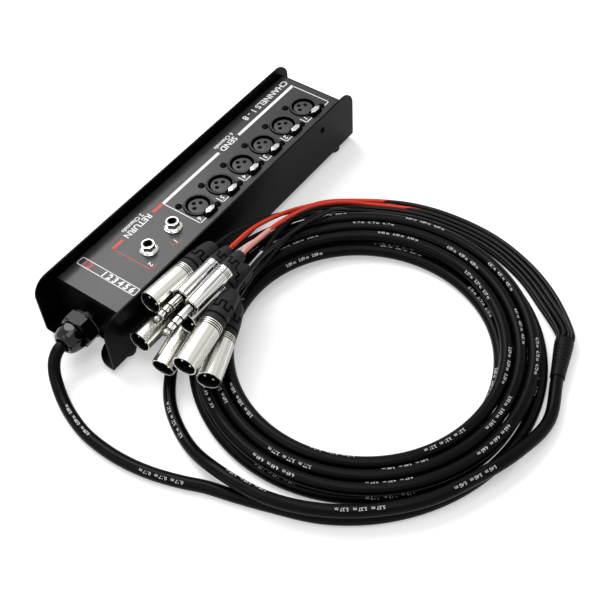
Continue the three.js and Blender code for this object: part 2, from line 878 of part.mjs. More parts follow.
// Each plug as it lies in the heap: mouth position, turn about +Z and tilt (rear end up) in degrees,
// its place in the breakout's ring, and the hand-laid route of its tail from the ring to the plug as
// azimuth about the coil's middle, radius and height.
const plugs = [
  {
    name: "xlr_plug_1",
    mouth: [-116.6, -45.6, 52.3],
    turn: 0.5,
    tilt: -5,
    slot: 4,
    route: [
      [-38, 154.2, 2.1],
      [-24, 154.2, 2.1],
      [-8, 154.2, 2.1],
      [12, 154.2, 2.1],
      [30, 154.2, 2.1],
      [38, 153, 3.2],
      [45, 149.5, 8.5],
      [50, 145, 14],
      [59.2, 136.4, 25],
      [67.3, 133.1, 32],
      [75.7, 130.4, 38],
      [84.3, 130.8, 43],
    ],
  },
  {
    name: "xlr_plug_2",
    mouth: [-135.7, -47, 27.7],
    turn: 2.3,
    tilt: -2.8,
    slot: 5,
    route: [
      [-38, 149.9, 2.1],
      [-24, 149.9, 2.1],
      [-8, 149.9, 2.1],
      [14, 149.9, 2.1],
      [32, 149.9, 2.1],
      [40, 148.5, 2.6],
      [47, 145.5, 4.8],
      [55, 141.5, 8.8],
      [65, 137, 14.3],
      [75, 134.5, 18.5],
      [85, 133.5, 20.8],
    ],
  },
  {
    name: "xlr_plug_3",
    mouth: [-141.4, -73.3, 22.3],
    turn: 10.8,
    tilt: 4.8,
    slot: 6,
    route: [
      [-38, 145.7, 2.1],
      [-24, 145.7, 2.1],
      [-8, 145.7, 2.1],
      [14, 145.7, 2.1],
      [30, 145.7, 2.1],
      [37, 144.8, 3.2],
      [43, 142.5, 7],
      [50, 138.5, 13],
      [58, 131.5, 20.5],
      [66, 125.8, 22.5],
      [78, 121, 25],
      [88, 119.5, 27.5],
    ],
  },
  {
    name: "xlr_plug_4",
    mouth: [-145.1, -101.4, 50.4],
    turn: 10.9,
    tilt: -0.3,
    slot: 0,
    route: [
      [-38, 141.5, 7],
      [-24, 141.5, 6.3],
      [-8, 141.5, 6.3],
      [14, 141.5, 6.3],
      [30, 141.5, 6.6],
      [38, 139.3, 10.5],
      [44, 133.5, 19],
      [52, 121, 26.5],
      [62.7, 109, 33.5],
      [75.4, 99.5, 40],
      [88, 94.5, 46],
    ],
  },
  {
    name: "xlr_plug_5",
    mouth: [-135, -111.8, 30.1],
    turn: 23.1,
    tilt: -2.2,
    slot: 7,
    route: [
      [-38, 141.5, 2.1],
      [-24, 141.5, 2.1],
      [-8, 141.5, 2.1],
      [14, 141.5, 2.1],
      [28, 141.5, 2.3],
      [33, 141, 2.9],
      [38.5, 139.2, 6.2],
      [44, 136.3, 14.6],
      [52, 128, 21.8],
      [62, 117.5, 21.8],
      [75, 107, 21.8],
      [88, 102.2, 22.2],
      [100.5, 99.6, 23.6],
    ],
  },
  {
    name: "xlr_plug_6",
    mouth: [-111.9, -74.7, 44.7],
    turn: 1.2,
    tilt: -8.2,
    slot: 1,
    route: [
      [-38, 145.7, 7],
      [-24, 145.7, 6.3],
      [-8, 145.7, 6.3],
      [14, 145.7, 6.3],
      [31, 145.7, 6.6],
      [38, 144.5, 9],
      [44, 141.3, 13],
      [50, 137.5, 19],
      [58, 129.5, 25.5],
      [66, 121, 27.5],
      [78, 109.5, 28.5],
    ],
  },
  {
    name: "jack_plug_1",
    mouth: [-129.9, -61.6, 54.8],
    turn: 1,
    tilt: -2.2,
    slot: 3,
    look: jacketRed,
    route: [
      [-38, 154.2, 7],
      [-24, 154.2, 6.3],
      [-8, 154.2, 6.3],
      [10, 154.2, 6.3],
      [24, 154.5, 6.3],
      [36, 153.5, 7.5],
      [45, 148.6, 14],
      [52, 140, 22],
      [60, 132, 31],
      [70, 123.5, 41],
      [80, 117.6, 49],
    ],
  },
  {
    name: "jack_plug_2",
    mouth: [-136.2, -76.4, 57.3],
    turn: -1.7,
    tilt: 4.8,
    slot: 2,
    look: jacketRed,
    route: [
      [-38, 149.9, 7],
      [-24, 149.9, 6.3],
      [-8, 149.9, 6.3],
      [14, 149.9, 6.3],
      [32, 149.9, 6.6],
      [41, 147, 13],
      [51.8, 135.7, 25],
      [57.7, 126.4, 33],
      [70.6, 110.4, 47],
      [83, 100.9, 57],
    ],
  },
];

const xlrShellSurface = surface(plugShell());
const xlrBootSurface = surface(plugBoot());
const jackShellSurface = surface(jackPlugShell());
const jackBootSurface = surface(jackPlugBoot());
const tailSides = 8;
const tailSteps = 30;

plugs.forEach(({ name, mouth, turn, tilt, slot, look, route }) => {
  const isJack = name.startsWith("jack");
  const lie = moved(...mouth)
    .multiply(new THREE.Matrix4().makeRotationZ(THREE.MathUtils.degToRad(turn)))
    .multiply(new THREE.Matrix4().makeRotationY(THREE.MathUtils.degToRad(90 - tilt)));
  place(`${name}_shell`, isJack ? jackShellSurface : xlrShellSurface, nickel, lie);
  place(`${name}_boot`, isJack ? jackBootSurface : xlrBootSurface, rubberBlack, lie);
  const end = isJack ? jackBootEnd : bootEnd;
  const back = (beyond) => new THREE.Vector3(0, 0, end + beyond).applyMatrix4(lie);
  const points = [ringPoint(slot, touchGap), ringPoint(slot, tailSettle)];
  route.forEach((stop) => points.push(polar(...stop)));
  points.push(back(tailSettle), back(touchGap));
  const curve = smooth(points);
  console.log(`${name} tail length ${curve.getLength().toFixed(0)} mm`);
  const tail = tube(curve, tailRadius, tailSides, tailSteps);
  place(name.replace("plug", "tail"), tail, look ?? jacketBlack);
});

export default part;
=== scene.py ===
"""Stage box snake: a steel box of sockets, its trunk cable in a coil and eight plugs in a heap.

The box's length runs along X with the cable gland at -X, its side walls face -Y and +Y, and the
floor is z = 0. Lengths are in millimetres until a mesh is made; Blender's own unit is the metre.
"""

import logging
import math
from collections.abc import Callable, Sequence
from dataclasses import dataclass
from enum import Enum
from typing import Any

import bpy
import numpy as np
from mathutils import Matrix


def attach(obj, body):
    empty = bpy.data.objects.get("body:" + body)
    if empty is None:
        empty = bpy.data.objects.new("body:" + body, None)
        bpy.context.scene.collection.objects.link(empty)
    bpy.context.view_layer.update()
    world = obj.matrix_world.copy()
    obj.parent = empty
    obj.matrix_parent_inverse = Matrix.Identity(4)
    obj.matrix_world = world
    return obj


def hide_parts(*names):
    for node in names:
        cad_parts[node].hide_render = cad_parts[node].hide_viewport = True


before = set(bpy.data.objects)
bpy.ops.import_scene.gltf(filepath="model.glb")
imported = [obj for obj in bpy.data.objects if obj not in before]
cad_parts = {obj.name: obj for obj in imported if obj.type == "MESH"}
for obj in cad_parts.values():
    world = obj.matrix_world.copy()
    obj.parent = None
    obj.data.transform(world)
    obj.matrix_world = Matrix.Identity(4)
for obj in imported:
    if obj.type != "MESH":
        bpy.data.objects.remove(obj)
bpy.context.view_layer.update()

Array = np.ndarray
Pair = tuple[float, float]
Point = tuple[float, float, float]
RadiusRule = Callable[[Array, Array, Array], Array]
MM = 0.001
BOX = "stage_box"
TOUCH_GAP = 0.3
WALL_FACE = 35.5
PANEL_TOP = 45.8
PANEL_FRONT = -135.5
GLAND_HEIGHT = 24.5
log = logging.getLogger("stage box snake")


# Surfaces


@dataclass(frozen=True)
class Shell:
    """A surface made of polygons.

    Attributes:
        points: n x 3 positions in millimetres.
        corners: the polygons' corner indices, one polygon after another.
        counts: how many corners each polygon has.
    """

    points: Array
    corners: Array
    counts: Array

    def moved(self, matrix: Array) -> "Shell":
        """The same surface through a 4 x 4 placement."""
        return Shell(through(self.points, matrix), self.corners, self.counts)

    def outward(self) -> "Shell":
        """The same surface with its faces outward.

        Six times the enclosed volume is the sum of first . (second x third) over the triangles
        that fan out from each polygon's first corner. Where it is below zero, all faces turn.

        Returns:
            The surface.
        """
        starts = np.cumsum(self.counts) - self.counts
        first = np.repeat(self.corners[starts], self.counts)
        after = np.roll(self.corners, -1)
        after[starts + self.counts - 1] = self.corners[starts]
        product = np.cross(self.points[self.corners], self.points[after])
        if np.einsum("ij,ij->", self.points[first], product) >= 0:
            return self
        return Shell(self.points, self.corners[::-1], self.counts[::-1])


def joined(*shells: Shell) -> Shell:
    """Several surfaces as one."""
    offsets = np.cumsum([0, *(len(shell.points) for shell in shells[:-1])])
    return Shell(
        np.vstack([shell.points for shell in shells]),
        np.concatenate([shell.corners + n for shell, n in zip(shells, offsets)]),
        np.concatenate([shell.counts for shell in shells]),
    )


def unit(vectors: Array) -> Array:
    """Vectors of length 1 with the same directions."""
    return vectors / np.linalg.norm(vectors, axis=-1, keepdims=True)


def circle(sides: int) -> Array:
    """The angles of a full turn's even steps."""
    return 2 * np.pi * np.arange(sides) / sides


def ring_indices(count: int, sides: int) -> Array:
    """The indices of a stack of rings of points, each ring's first one again at its end."""
    return np.arange(count * sides).reshape(count, sides)[:, np.arange(sides + 1) % sides]


def quads_of(grid: Array) -> Array:
    """The corners of the quads between neighbouring rows and columns of a grid of indices."""
    return np.stack([grid[:-1, :-1], grid[:-1, 1:], grid[1:, 1:], grid[1:, :-1]], -1).ravel()


def skin(rings: Array, ends: Array | None = None) -> Shell:
    """A closed surface over rings of points.

    Args:
        rings: n x sides x 3 positions.
        ends: the two points in which it closes, or None where the last ring joins the first.

    Returns:
        The surface, faces outward.
    """
    count, sides = rings.shape[:2]
    grid = ring_indices(count, sides)
    points = rings.reshape(-1, 3)
    if ends is None:
        corners = quads_of(grid[np.arange(count + 1) % count])
        return Shell(points, corners, np.full(count * sides, 4)).outward()
    tip = np.full(sides, len(points))
    fans = ((tip, grid[0, 1:], grid[0, :-1]), (tip + 1, grid[-1, :-1], grid[-1, 1:]))
    return Shell(
        np.vstack([points, ends]),
        np.concatenate([quads_of(grid), *(np.stack(fan, -1).ravel() for fan in fans)]),
        np.repeat([4, 3], [(count - 1) * sides, 2 * sides]),
    ).outward()


def eased(
    outline: Sequence[Sequence[float]],
    radius: float | Sequence[float],
    steps: int = 3,
    closed: bool = False,
) -> Array:
    """A line of points with its corners rounded.

    Each corner v gives way to the curve (1-t)^2 a + 2 t (1-t) v + t^2 b, where a and b lie on its
    two sides, at the radius from v or at 0.45 of a side that is too short for it.

    Args:
        outline: the corners.
        radius: one number, or one for each corner.
        steps: how many parts each curve has.
        closed: whether the last corner joins the first.

    Returns:
        The line, no point of it twice in a row.
    """
    p = np.asarray(outline, float)
    radius = np.broadcast_to(radius, len(p))[:, None]

    def toward(side: Array) -> Array:
        """Where the curves start on the sides that leave the corners."""
        length = np.maximum(np.linalg.norm(side, axis=1, keepdims=True), 1e-9)
        return (p + side * np.minimum(radius / length, 0.45))[:, None]

    t = np.linspace(0, 1, steps + 1)[None, :, None]
    a, b = toward(np.roll(p, 1, 0) - p), toward(np.roll(p, -1, 0) - p)
    curve = (1 - t) ** 2 * a + 2 * t * (1 - t) * p[:, None] + t**2 * b
    line = curve.reshape(-1, p.shape[1])
    if not closed:
        line = np.vstack([p[:1], curve[1:-1].reshape(-1, p.shape[1]), p[-1:]])
    apart = np.linalg.norm(line - np.roll(line, 1, 0), axis=1) > 1e-6
    return line[apart]


def distances(path: Array) -> Array:
    """How far along a line of points each of them lies."""
    return np.concatenate([[0], np.cumsum(np.linalg.norm(np.diff(path, axis=0), axis=1))])


def along_line(places: Array, along: Array, line: Array) -> Array:
    """What a line of values is at some places, where its own places are `along`."""
    return np.stack([np.interp(places, along, column) for column in line.T], -1)


def resampled(line: Array, step: float) -> Array:
    """A line of points with others put in.

    Args:
        line: the points.
        step: the furthest that two neighbours may be apart.

    Returns:
        The line, its own points kept.
    """
    along = distances(line)
    parts = np.maximum(np.ceil(np.diff(along) / step), 1).astype(int)
    places = [np.linspace(a, b, n, endpoint=False) for a, b, n in zip(along, along[1:], parts)]
    return along_line(np.concatenate([*places, along[-1:]]), along, line)


def facets(count: int, half: float, turned: float = 0.0) -> RadiusRule:
    """Holds the radius inside a regular prism.

    A flat at the distance `half` has r = half / cos(a), with a measured from the flat's middle.

    Args:
        count: how many flats.
        half: the flats' distance from the axis.
        turned: the angle of the first flat's middle.

    Returns:
        The rule, for the arrays of radius, height and angle.
    """
    part = 2 * np.pi / count

    def rule(radius: Array, height: Array, angle: Array) -> Array:
        """The radius, or the flat's where that is less."""
        off = (angle - turned + part / 2) % part - part / 2
        return np.minimum(radius, half / np.cos(off))

    return rule


@dataclass(frozen=True)
class Turned:
    """A turned form: a profile carried round +Z.

    Attributes:
        profile: (radius, height) from axis to axis, or off the axis as a ring that closes.
        easing: how far its corners are rounded, one number or one for each.
        steps: how many parts each rounding has.
        sides: how many steps a full turn has.
        step: the profile's longest stretch, where a rule needs close points.
        flats: count, distance and turn of flats that cut the form down.
    """

    profile: Sequence[Pair]
    easing: float | Sequence[float] = 0.0
    steps: int = 3
    sides: int = 48
    step: float = 0.0
    flats: tuple[float, ...] = ()

    def shell(self, rule: RadiusRule | None = None) -> Shell:
        """The form's surface: (r cos a, r sin a, z) for each angle a.

        Args:
            rule: gives the radius from the arrays of radius, height and angle.

        Returns:
            The surface, faces outward.
        """
        line = np.asarray(self.profile, float)
        solid = line[0, 0] == 0
        if self.easing:
            line = eased(line, self.easing, self.steps, closed=not solid)
        if self.step:
            line = resampled(line, self.step)
        if self.flats:
            rule = facets(*self.flats)
        radius, height = (line[1:-1] if solid else line).T[..., None]
        angle = circle(self.sides)
        if rule is not None:
            radius = rule(radius, height, angle)
        radius, height, angle = np.broadcast_arrays(radius, height, angle)
        rings = np.stack([radius * np.cos(angle), radius * np.sin(angle), height], -1)
        ends = np.array([[0, 0, line[0, 1]], [0, 0, line[-1, 1]]])
        return skin(rings, ends if solid else None)


def slab(outline: Array, levels: Sequence[Pair]) -> Shell:
    """A flat outline stacked along +Z.

    Args:
        outline: n x 2 points, anticlockwise, seen whole from the mean of them all.
        levels: (height, inset) pairs, from one end face to the other.

    Returns:
        The surface, faces outward.
    """
    along = np.roll(outline, -1, 0) - np.roll(outline, 1, 0)
    normal = unit(np.stack([along[:, 1], -along[:, 0]], -1))
    height, inset = np.array(levels, float).T[..., None, None]
    flat = outline - inset * normal
    tall = np.broadcast_to(height, (*flat.shape[:2], 1))
    middle = outline.mean(0)
    ends = np.array([[*middle, level[0]] for level in (levels[0], levels[-1])])
    return skin(np.concatenate([flat, tall], -1), ends)


def soft_levels(low: float, high: float, edge: float) -> list[Pair]:
    """Levels for a slab.

    Args:
        low, high: heights of its end faces.
        edge: radius of the rounded edge round both of them, or 0.

    Returns:
        (height, inset) pairs.
    """
    if not edge:
        return [(low, 0), (high, 0)]
    turned = np.linspace(0, np.pi / 2, 4)
    rise, inset = edge * (1 - np.cos(turned)), edge * (1 - np.sin(turned))
    up = [(low + a, b) for a, b in zip(rise, inset)]
    return up + [(high - a, b) for a, b in zip(rise[::-1], inset[::-1])]


def rectangle(x0: float, x1: float, y0: float, y1: float, corner: float = 0) -> Array:
    """The outline of a rectangle, with round corners if a radius is given."""
    outline = np.array([[x0, y0], [x1, y0], [x1, y1], [x0, y1]], float)
    return eased(outline, corner, 5, closed=True) if corner else outline


@dataclass(frozen=True)
class Block:
    """A block between two corners.

    Attributes:
        low, high: the two corners.
        corner: radius of its upright edges.
        edge: radius of its end faces' edges.
    """

    low: Point
    high: Point
    corner: float = 0.0
    edge: float = 0.0

    def shell(self) -> Shell:
        """The block's surface."""
        (x0, y0, z0), (x1, y1, z1) = self.low, self.high
        return slab(rectangle(x0, x1, y0, y1, self.corner), soft_levels(z0, z1, self.edge))


def curve_through(controls: Array, steps: int) -> Array:
    """A centripetal Catmull-Rom curve through every control point.

    Between p1 and p2 the point is a mean of means over knots that lie the square root of a side
    apart: a1, a2, a3 mix neighbouring points, b1, b2 mix the a's, and the point mixes the b's.

    Args:
        controls: n x 3 points.
        steps: how many parts each stretch has.

    Returns:
        The curve's points.
    """
    p = np.vstack([2 * controls[0] - controls[1], controls, 2 * controls[-1] - controls[-2]])
    knots = np.sqrt(np.linalg.norm(np.diff(p, axis=0), axis=1))
    knots = np.concatenate([[0], np.cumsum(knots)])
    k0, k1, k2, k3 = (knots[i : len(knots) - 3 + i, None, None] for i in range(4))
    p0, p1, p2, p3 = (p[i : len(p) - 3 + i, None] for i in range(4))
    t = k1 + (k2 - k1) * np.linspace(0, 1, steps, endpoint=False)[None, :, None]

    def mix(a: Array, b: Array, start: Array, end: Array) -> Array:
        """a at the start knot, b at the end knot, and even between them."""
        return ((end - t) * a + (t - start) * b) / (end - start)

    a1, a2, a3 = mix(p0, p1, k0, k1), mix(p1, p2, k1, k2), mix(p2, p3, k2, k3)
    b1, b2 = mix(a1, a2, k0, k2), mix(a2, a3, k1, k3)
    return np.vstack([mix(b1, b2, k1, k2).reshape(-1, 3), controls[-1:]])


class Route:
    """A cord's centreline, which never stands upright.

    Attributes:
        path: its points.
        along: how far along it each of them lies.
        side, up: unit vectors, side = +Z x heading and up = heading x side.
    """

    def __init__(self, path: Array) -> None:
        """Works out the distances and the vectors from the points.

        Args:
            path: the points.
        """
        heading = unit(np.gradient(path, axis=0))
        self.path = path
        self.along = distances(path)
        self.side = unit(np.cross([0.0, 0.0, 1.0], heading))
        self.up = np.cross(heading, self.side)

    def around(self, places: Array, angle: Array, radius: float | Array) -> Array:
        """Points round the cord: centre + r (side cos a + up sin a).

        Args:
            places: their distances along the cord.
            angle: their angles a about it.
            radius: their distances r from its centreline.

        Returns:
            The points.
        """
        lines = (self.path, self.side, self.up)
        centre, side, up = (along_line(places, self.along, line) for line in lines)
        angle, radius = np.asarray(angle)[..., None], np.asarray(radius)[..., None]
        return centre + radius * (side * np.cos(angle) + up * np.sin(angle))

    def tube(self, radius: float, sides: int = 16) -> Shell:
        """A round tube along the whole route."""
        rings = self.around(self.along[:, None], circle(sides), radius)
        return skin(rings, self.path[[0, -1]])


# Placements

HERE = np.eye(4)


def shift(x: float, y: float, z: float) -> Array:
    """A placement that only moves."""
    return axes(*np.eye(3), (x, y, z))


def turn(axis: str, degrees: float) -> Array:
    """A placement that only turns, about "X", "Y" or "Z"."""
    return np.array(Matrix.Rotation(math.radians(degrees), 4, axis))


def axes(x: Array, y: Array, z: Array, origin: Sequence[float]) -> Array:
    """A placement by where it takes the three axes and the origin."""
    return np.vstack([np.column_stack([x, y, z, origin]), HERE[3]])


def through(points: Array, matrix: Array) -> Array:
    """Points through a placement."""
    return points @ matrix[:3, :3].T + matrix[:3, 3]


# Finishes


class Slot(Enum):
    """The record's material slots."""

    BOX = "box_steel"
    PANEL = "panel_steel"
    FOOT = "foot_rubber"
    GLAND = "gland_plastic"
    SOCKET = "socket_shell"
    INSERT = "socket_insert"
    NICKEL = "nickel"
    PLUG = "plug_shell"
    BOOT = "boot_rubber"
    JACKET = "cable_jacket"
    RED = "tail_jacket_red"


def feed(node: bpy.types.Node, values: dict[str | int, Any]) -> bpy.types.Node:
    """Sets or links a shader node's inputs.

    Args:
        node: the node.
        values: for each input a constant, a socket, or a node whose first output feeds it.

    Returns:
        The node.
    """
    for key, value in values.items():
        if isinstance(value, bpy.types.Node):
            value = value.outputs[0]
        if isinstance(value, bpy.types.NodeSocket):
            node.id_data.links.new(value, node.inputs[key])
        else:
            node.inputs[key].default_value = value
    return node


def add_node(tree: bpy.types.NodeTree, kind: str, **values: Any) -> bpy.types.Node:
    """A new shader node with inputs fed by name, a _ in a name standing for a space."""
    node = tree.nodes.new(f"ShaderNode{kind}")
    return feed(node, {key.replace("_", " "): value for key, value in values.items()})


def attribute(tree: bpy.types.NodeTree, name: str) -> bpy.types.Node:
    """A node that reads one of the piece's own attributes.

    Args:
        tree: the node tree.
        name: the attribute's name.

    Returns:
        The node.
    """
    node = add_node(tree, "Attribute")
    node.attribute_name = name
    return node


@dataclass(frozen=True)
class Finish:
    """A finish made of noise over object coordinates.

    Attributes:
        name: the material's name.
        slot: the record's material slot; not used.
        colour: linear colour where the mottling is light.
        rough: the lowest and highest roughness.
        shine: specular level of the clear surface.
        relief: depth of the fine relief, in millimetres.
        metal: 1 for bare metal.
        shade: how much darker the mottling goes, as a share of the colour.
        blotch, grain: scales of the mottling and of the fine relief, per metre.
        ramp: where the mottling goes from the darker to the lighter colour.
        drawn: whether both follow the piece's own "drawn" attribute, for metal with long streaks:
        drawn grain in the relief, and dark streaks in the colour as painted reflections.
        sunk: whether the piece's own "sunk" attribute mixes in painted shade, in grooves and
            recesses;
            on the sockets it leaves only the rim lighter, as a painted highlight.
        painted_shade_colour: the near-black colour that it mixes in.
    """

    name: str
    slot: Slot
    colour: Point
    rough: Pair
    shine: float = 0.5
    relief: float = 0.02
    metal: float = 0.0
    shade: float = 0.85
    blotch: float = 40.0
    grain: float = 2500.0
    ramp: Pair = (0.35, 0.65)
    drawn: bool = False
    sunk: bool = False
    painted_shade_colour: Point = (0.0005, 0.0005, 0.0005)

    def material(self) -> bpy.types.Material:
        """The Blender material, made once.

        Returns:
            The material.
        """
        known = bpy.data.materials.get(self.name)
        if known is not None:
            return known
        material = bpy.data.materials.new(self.name)
        material.use_nodes = True
        tree = material.node_tree
        if self.drawn:
            where = attribute(tree, "drawn").outputs["Vector"]
        else:
            where = add_node(tree, "TexCoord").outputs["Object"]
        mottle = add_node(tree, "TexNoise", Vector=where, Scale=self.blotch, Detail=4.0)
        # On drawn metal the darker mottling runs in long streaks, painted reflections of dark
        # surroundings.
        colour = add_node(tree, "ValToRGB", Fac=mottle)
        for stop, place, share in zip(colour.color_ramp.elements, self.ramp, (self.shade, 1.0)):
            stop.position = place
            stop.color = (*(share * c for c in self.colour), 1)
        # Painted shade: the "sunk" attribute darkens grooves and recesses toward
        # painted_shade_colour.
        if self.sunk:
            depth = attribute(tree, "sunk").outputs["Fac"]
            dark = (*self.painted_shade_colour, 1)
            colour = add_node(tree, "MixRGB", Fac=depth, Color1=colour, Color2=dark)
        rough = add_node(tree, "MapRange", Value=mottle, From_Min=0.3, From_Max=0.7)
        feed(rough, {"To Min": self.rough[0], "To Max": self.rough[1]})
        fine = add_node(tree, "TexNoise", Vector=where, Scale=self.grain, Detail=2.0)
        values = {
            "Base Color": colour,
            "Metallic": self.metal,
            "Roughness": rough,
            "Specular IOR Level": self.shine,
            "Normal": add_node(tree, "Bump", Distance=self.relief * MM, Height=fine),
        }
        feed(tree.nodes["Principled BSDF"], values)
        return material


POWDER_BLACK = Finish("powder black", Slot.BOX, (0.0012, 0.0012, 0.0013), (0.26, 0.32), 0.042, 0.01)
# One sheet, one paint: the top's grey is partly painted highlight, the end plates' black painted
# shade.
SATIN_GREY = Finish("satin dark grey", Slot.PANEL, (0.03, 0.03, 0.032), (0.26, 0.31), 0.27)
SHADED_PANEL_PAINT = Finish("satin black", Slot.PANEL, (0.0015, 0.0015, 0.0015), (0.5, 0.55), 0.02)
INK_WHITE = Finish("ink white", Slot.PANEL, (0.85, 0.85, 0.85), (0.5, 0.6), relief=0.005)
INK_RED = Finish("ink red", Slot.PANEL, (0.6, 0.05, 0.03), (0.5, 0.6), relief=0.005)
FOOT_RUBBER = Finish("foot rubber", Slot.FOOT, (0.006, 0.006, 0.006), (0.7, 0.8), 0.2)
GLAND_NYLON = Finish("gland nylon", Slot.GLAND, (0.002, 0.002, 0.0021), (0.16, 0.2), 0.14, 0.002)
GLAND_GLOSS = Finish("gland polish", Slot.GLAND, (0.0015, 0.0015, 0.0015), (0.06, 0.1), 0.34, 0.001)
# Die-cast black: its grey shows only on the sockets' flat rims, as a painted highlight.
DIE_CAST_BLACK = Finish(
    "die-cast black", Slot.SOCKET, (0.06, 0.06, 0.062), (0.14, 0.2), 0.035, sunk=True
)
BLACK_SCREW = Finish("black screw", Slot.SOCKET, (0.0012, 0.0012, 0.0012), (0.12, 0.18), 0.04)
INSERT_GREY = Finish("insert grey", Slot.INSERT, (0.04, 0.04, 0.042), (0.4, 0.48), 0.3)
DARK_INSERT = Finish("plug insert black", Slot.INSERT, (0.003, 0.003, 0.003), (0.4, 0.5), 0.1)
BRIGHT_NICKEL = Finish(
    "bright nickel", Slot.NICKEL, (0.72, 0.71, 0.68), (0.06, 0.1), 0.5, 0.0001, 1.0, 0.9
)
# Its dark streaks along the axis are painted reflections; its relief is the drawn grain.
DRAWN_NICKEL = Finish(
    "drawn nickel", Slot.NICKEL, (0.8, 0.79, 0.76), (0.12, 0.2), 0.5, 0.01, 1.0, 0.32,
    blotch=420,
    grain=700,
    ramp=(0.36, 0.5),
    drawn=True,
    sunk=True,
)
# Its dark streaks along the axis are painted reflections; its relief is the drawn grain.
SATIN_NICKEL = Finish(
    "satin nickel", Slot.PLUG, (0.76, 0.74, 0.69), (0.2, 0.3), 0.5, 0.012, 1.0, 0.42,
    blotch=260,
    grain=700,
    ramp=(0.34, 0.58),
    drawn=True,
    sunk=True,
)
BOOT_RUBBER = Finish(
    "boot rubber", Slot.BOOT, (0.03, 0.03, 0.031), (0.42, 0.52), 0.06, 0.01, sunk=True
)
BREAKOUT_RUBBER = Finish("breakout rubber", Slot.BOOT, (0.003, 0.003, 0.0032), (0.36, 0.44), 0.08)
JACKET_BLACK = Finish(
    "cable jacket", Slot.JACKET, (0.0016, 0.0016, 0.0018), (0.26, 0.34), 0.065, 0.008
)
TAIL_BLACK = Finish("tail jacket", Slot.JACKET, (0.0024, 0.0024, 0.0026), (0.2, 0.26), 0.14, 0.004)
TAIL_RED = Finish("tail jacket red", Slot.RED, (0.62, 0.032, 0.008), (0.32, 0.4), 0.3, 0.004)
SLEEVE_WHITE = Finish("sleeve white", Slot.JACKET, (0.6, 0.6, 0.6), (0.25, 0.3))
SLEEVE_PINK = Finish("sleeve pink", Slot.RED, (0.8, 0.3, 0.26), (0.25, 0.3))
MARK_WHITE = Finish("mark white", Slot.JACKET, (0.6, 0.6, 0.6), (0.5, 0.6), relief=0.005)


# Pieces


def placed(name: str, data: bpy.types.ID) -> bpy.types.Object:
    """A new object in the scene that shows a mesh, a text, a lamp or a camera.

    Args:
        name: its name.
        data: what it shows.

    Returns:
        The object.
    """
    thing = bpy.data.objects.new(name, data)
    bpy.context.scene.collection.objects.link(thing)
    return thing


def mesh_of(name: str, shell: Shell) -> bpy.types.Mesh:
    """A Blender mesh in metres from a surface in millimetres.

    Args:
        name: the mesh's name.
        shell: the surface.

    Returns:
        The mesh.
    """
    mesh = bpy.data.meshes.new(name)
    mesh.vertices.add(len(shell.points))
    mesh.vertices.foreach_set("co", (shell.points * MM).astype(np.float32).ravel())
    mesh.loops.add(len(shell.corners))
    mesh.loops.foreach_set("vertex_index", shell.corners.astype(np.int32))
    mesh.polygons.add(len(shell.counts))
    starts = np.cumsum(shell.counts) - shell.counts
    mesh.polygons.foreach_set("loop_start", starts.astype(np.int32))
    mesh.update(calc_edges=True)
    mesh.validate()
    return mesh


def shell_of(thing: bpy.types.Object) -> Shell:
    """An object's surface as its modifiers leave it, in its own unit.

    Args:
        thing: the object.

    Returns:
        The surface.
    """
    mesh = thing.evaluated_get(bpy.context.evaluated_depsgraph_get()).to_mesh()
    points = np.empty(3 * len(mesh.vertices), np.float32)
    corners = np.empty(len(mesh.loops), np.int32)
    counts = np.empty(len(mesh.polygons), np.int32)
    mesh.vertices.foreach_get("co", points)
    mesh.loops.foreach_get("vertex_index", corners)
    mesh.polygons.foreach_get("loop_total", counts)
    return Shell(points.reshape(-1, 3).astype(float), corners, counts)


def lettering(
    words: str,
    height: float,
    half_depth: float,
    slant: float = 0.0,
    spread: float = 1.0,
    bold: float = 0.02,
) -> Shell:
    """Letters of a plain typeface, their middle at the origin.

    Args:
        words: what they say.
        height: the height of a capital, which is 0.7 of the typeface's size.
        half_depth: how far they stand out to each side.
        slant: how much they lean.
        spread: the space between them, as a share of the typeface's own.
        bold: how much each stroke is widened to each side, as a share of the height.

    Returns:
        Their surface.
    """
    curve = bpy.data.curves.new("letters", "FONT")
    curve.body = words
    curve.size = height / 0.7
    curve.shear = slant
    curve.offset = bold * height
    curve.space_character = spread
    curve.extrude = half_depth
    curve.resolution_u = 4
    shell = shell_of(placed("letters", curve))
    bpy.data.curves.remove(curve)
    middle = (shell.points.max(0) + shell.points.min(0)) / 2
    return shell.moved(shift(*-middle))


def carved(base: Shell, tools: Sequence[Shell]) -> Shell:
    """A surface with tools cut out of it.

    Args:
        base: the surface.
        tools: what is cut out.

    Returns:
        What is left.
    """
    parts = [placed("blank", mesh_of("blank", shape)) for shape in (base, *tools)]
    for tool in parts[1:]:
        modifier = parts[0].modifiers.new("cut", "BOOLEAN")
        modifier.operation = "DIFFERENCE"
        modifier.solver = "EXACT"
        modifier.object = tool
    result = shell_of(parts[0])
    for part in parts:
        bpy.data.meshes.remove(part.data)
    return Shell(result.points / MM, result.corners, result.counts)


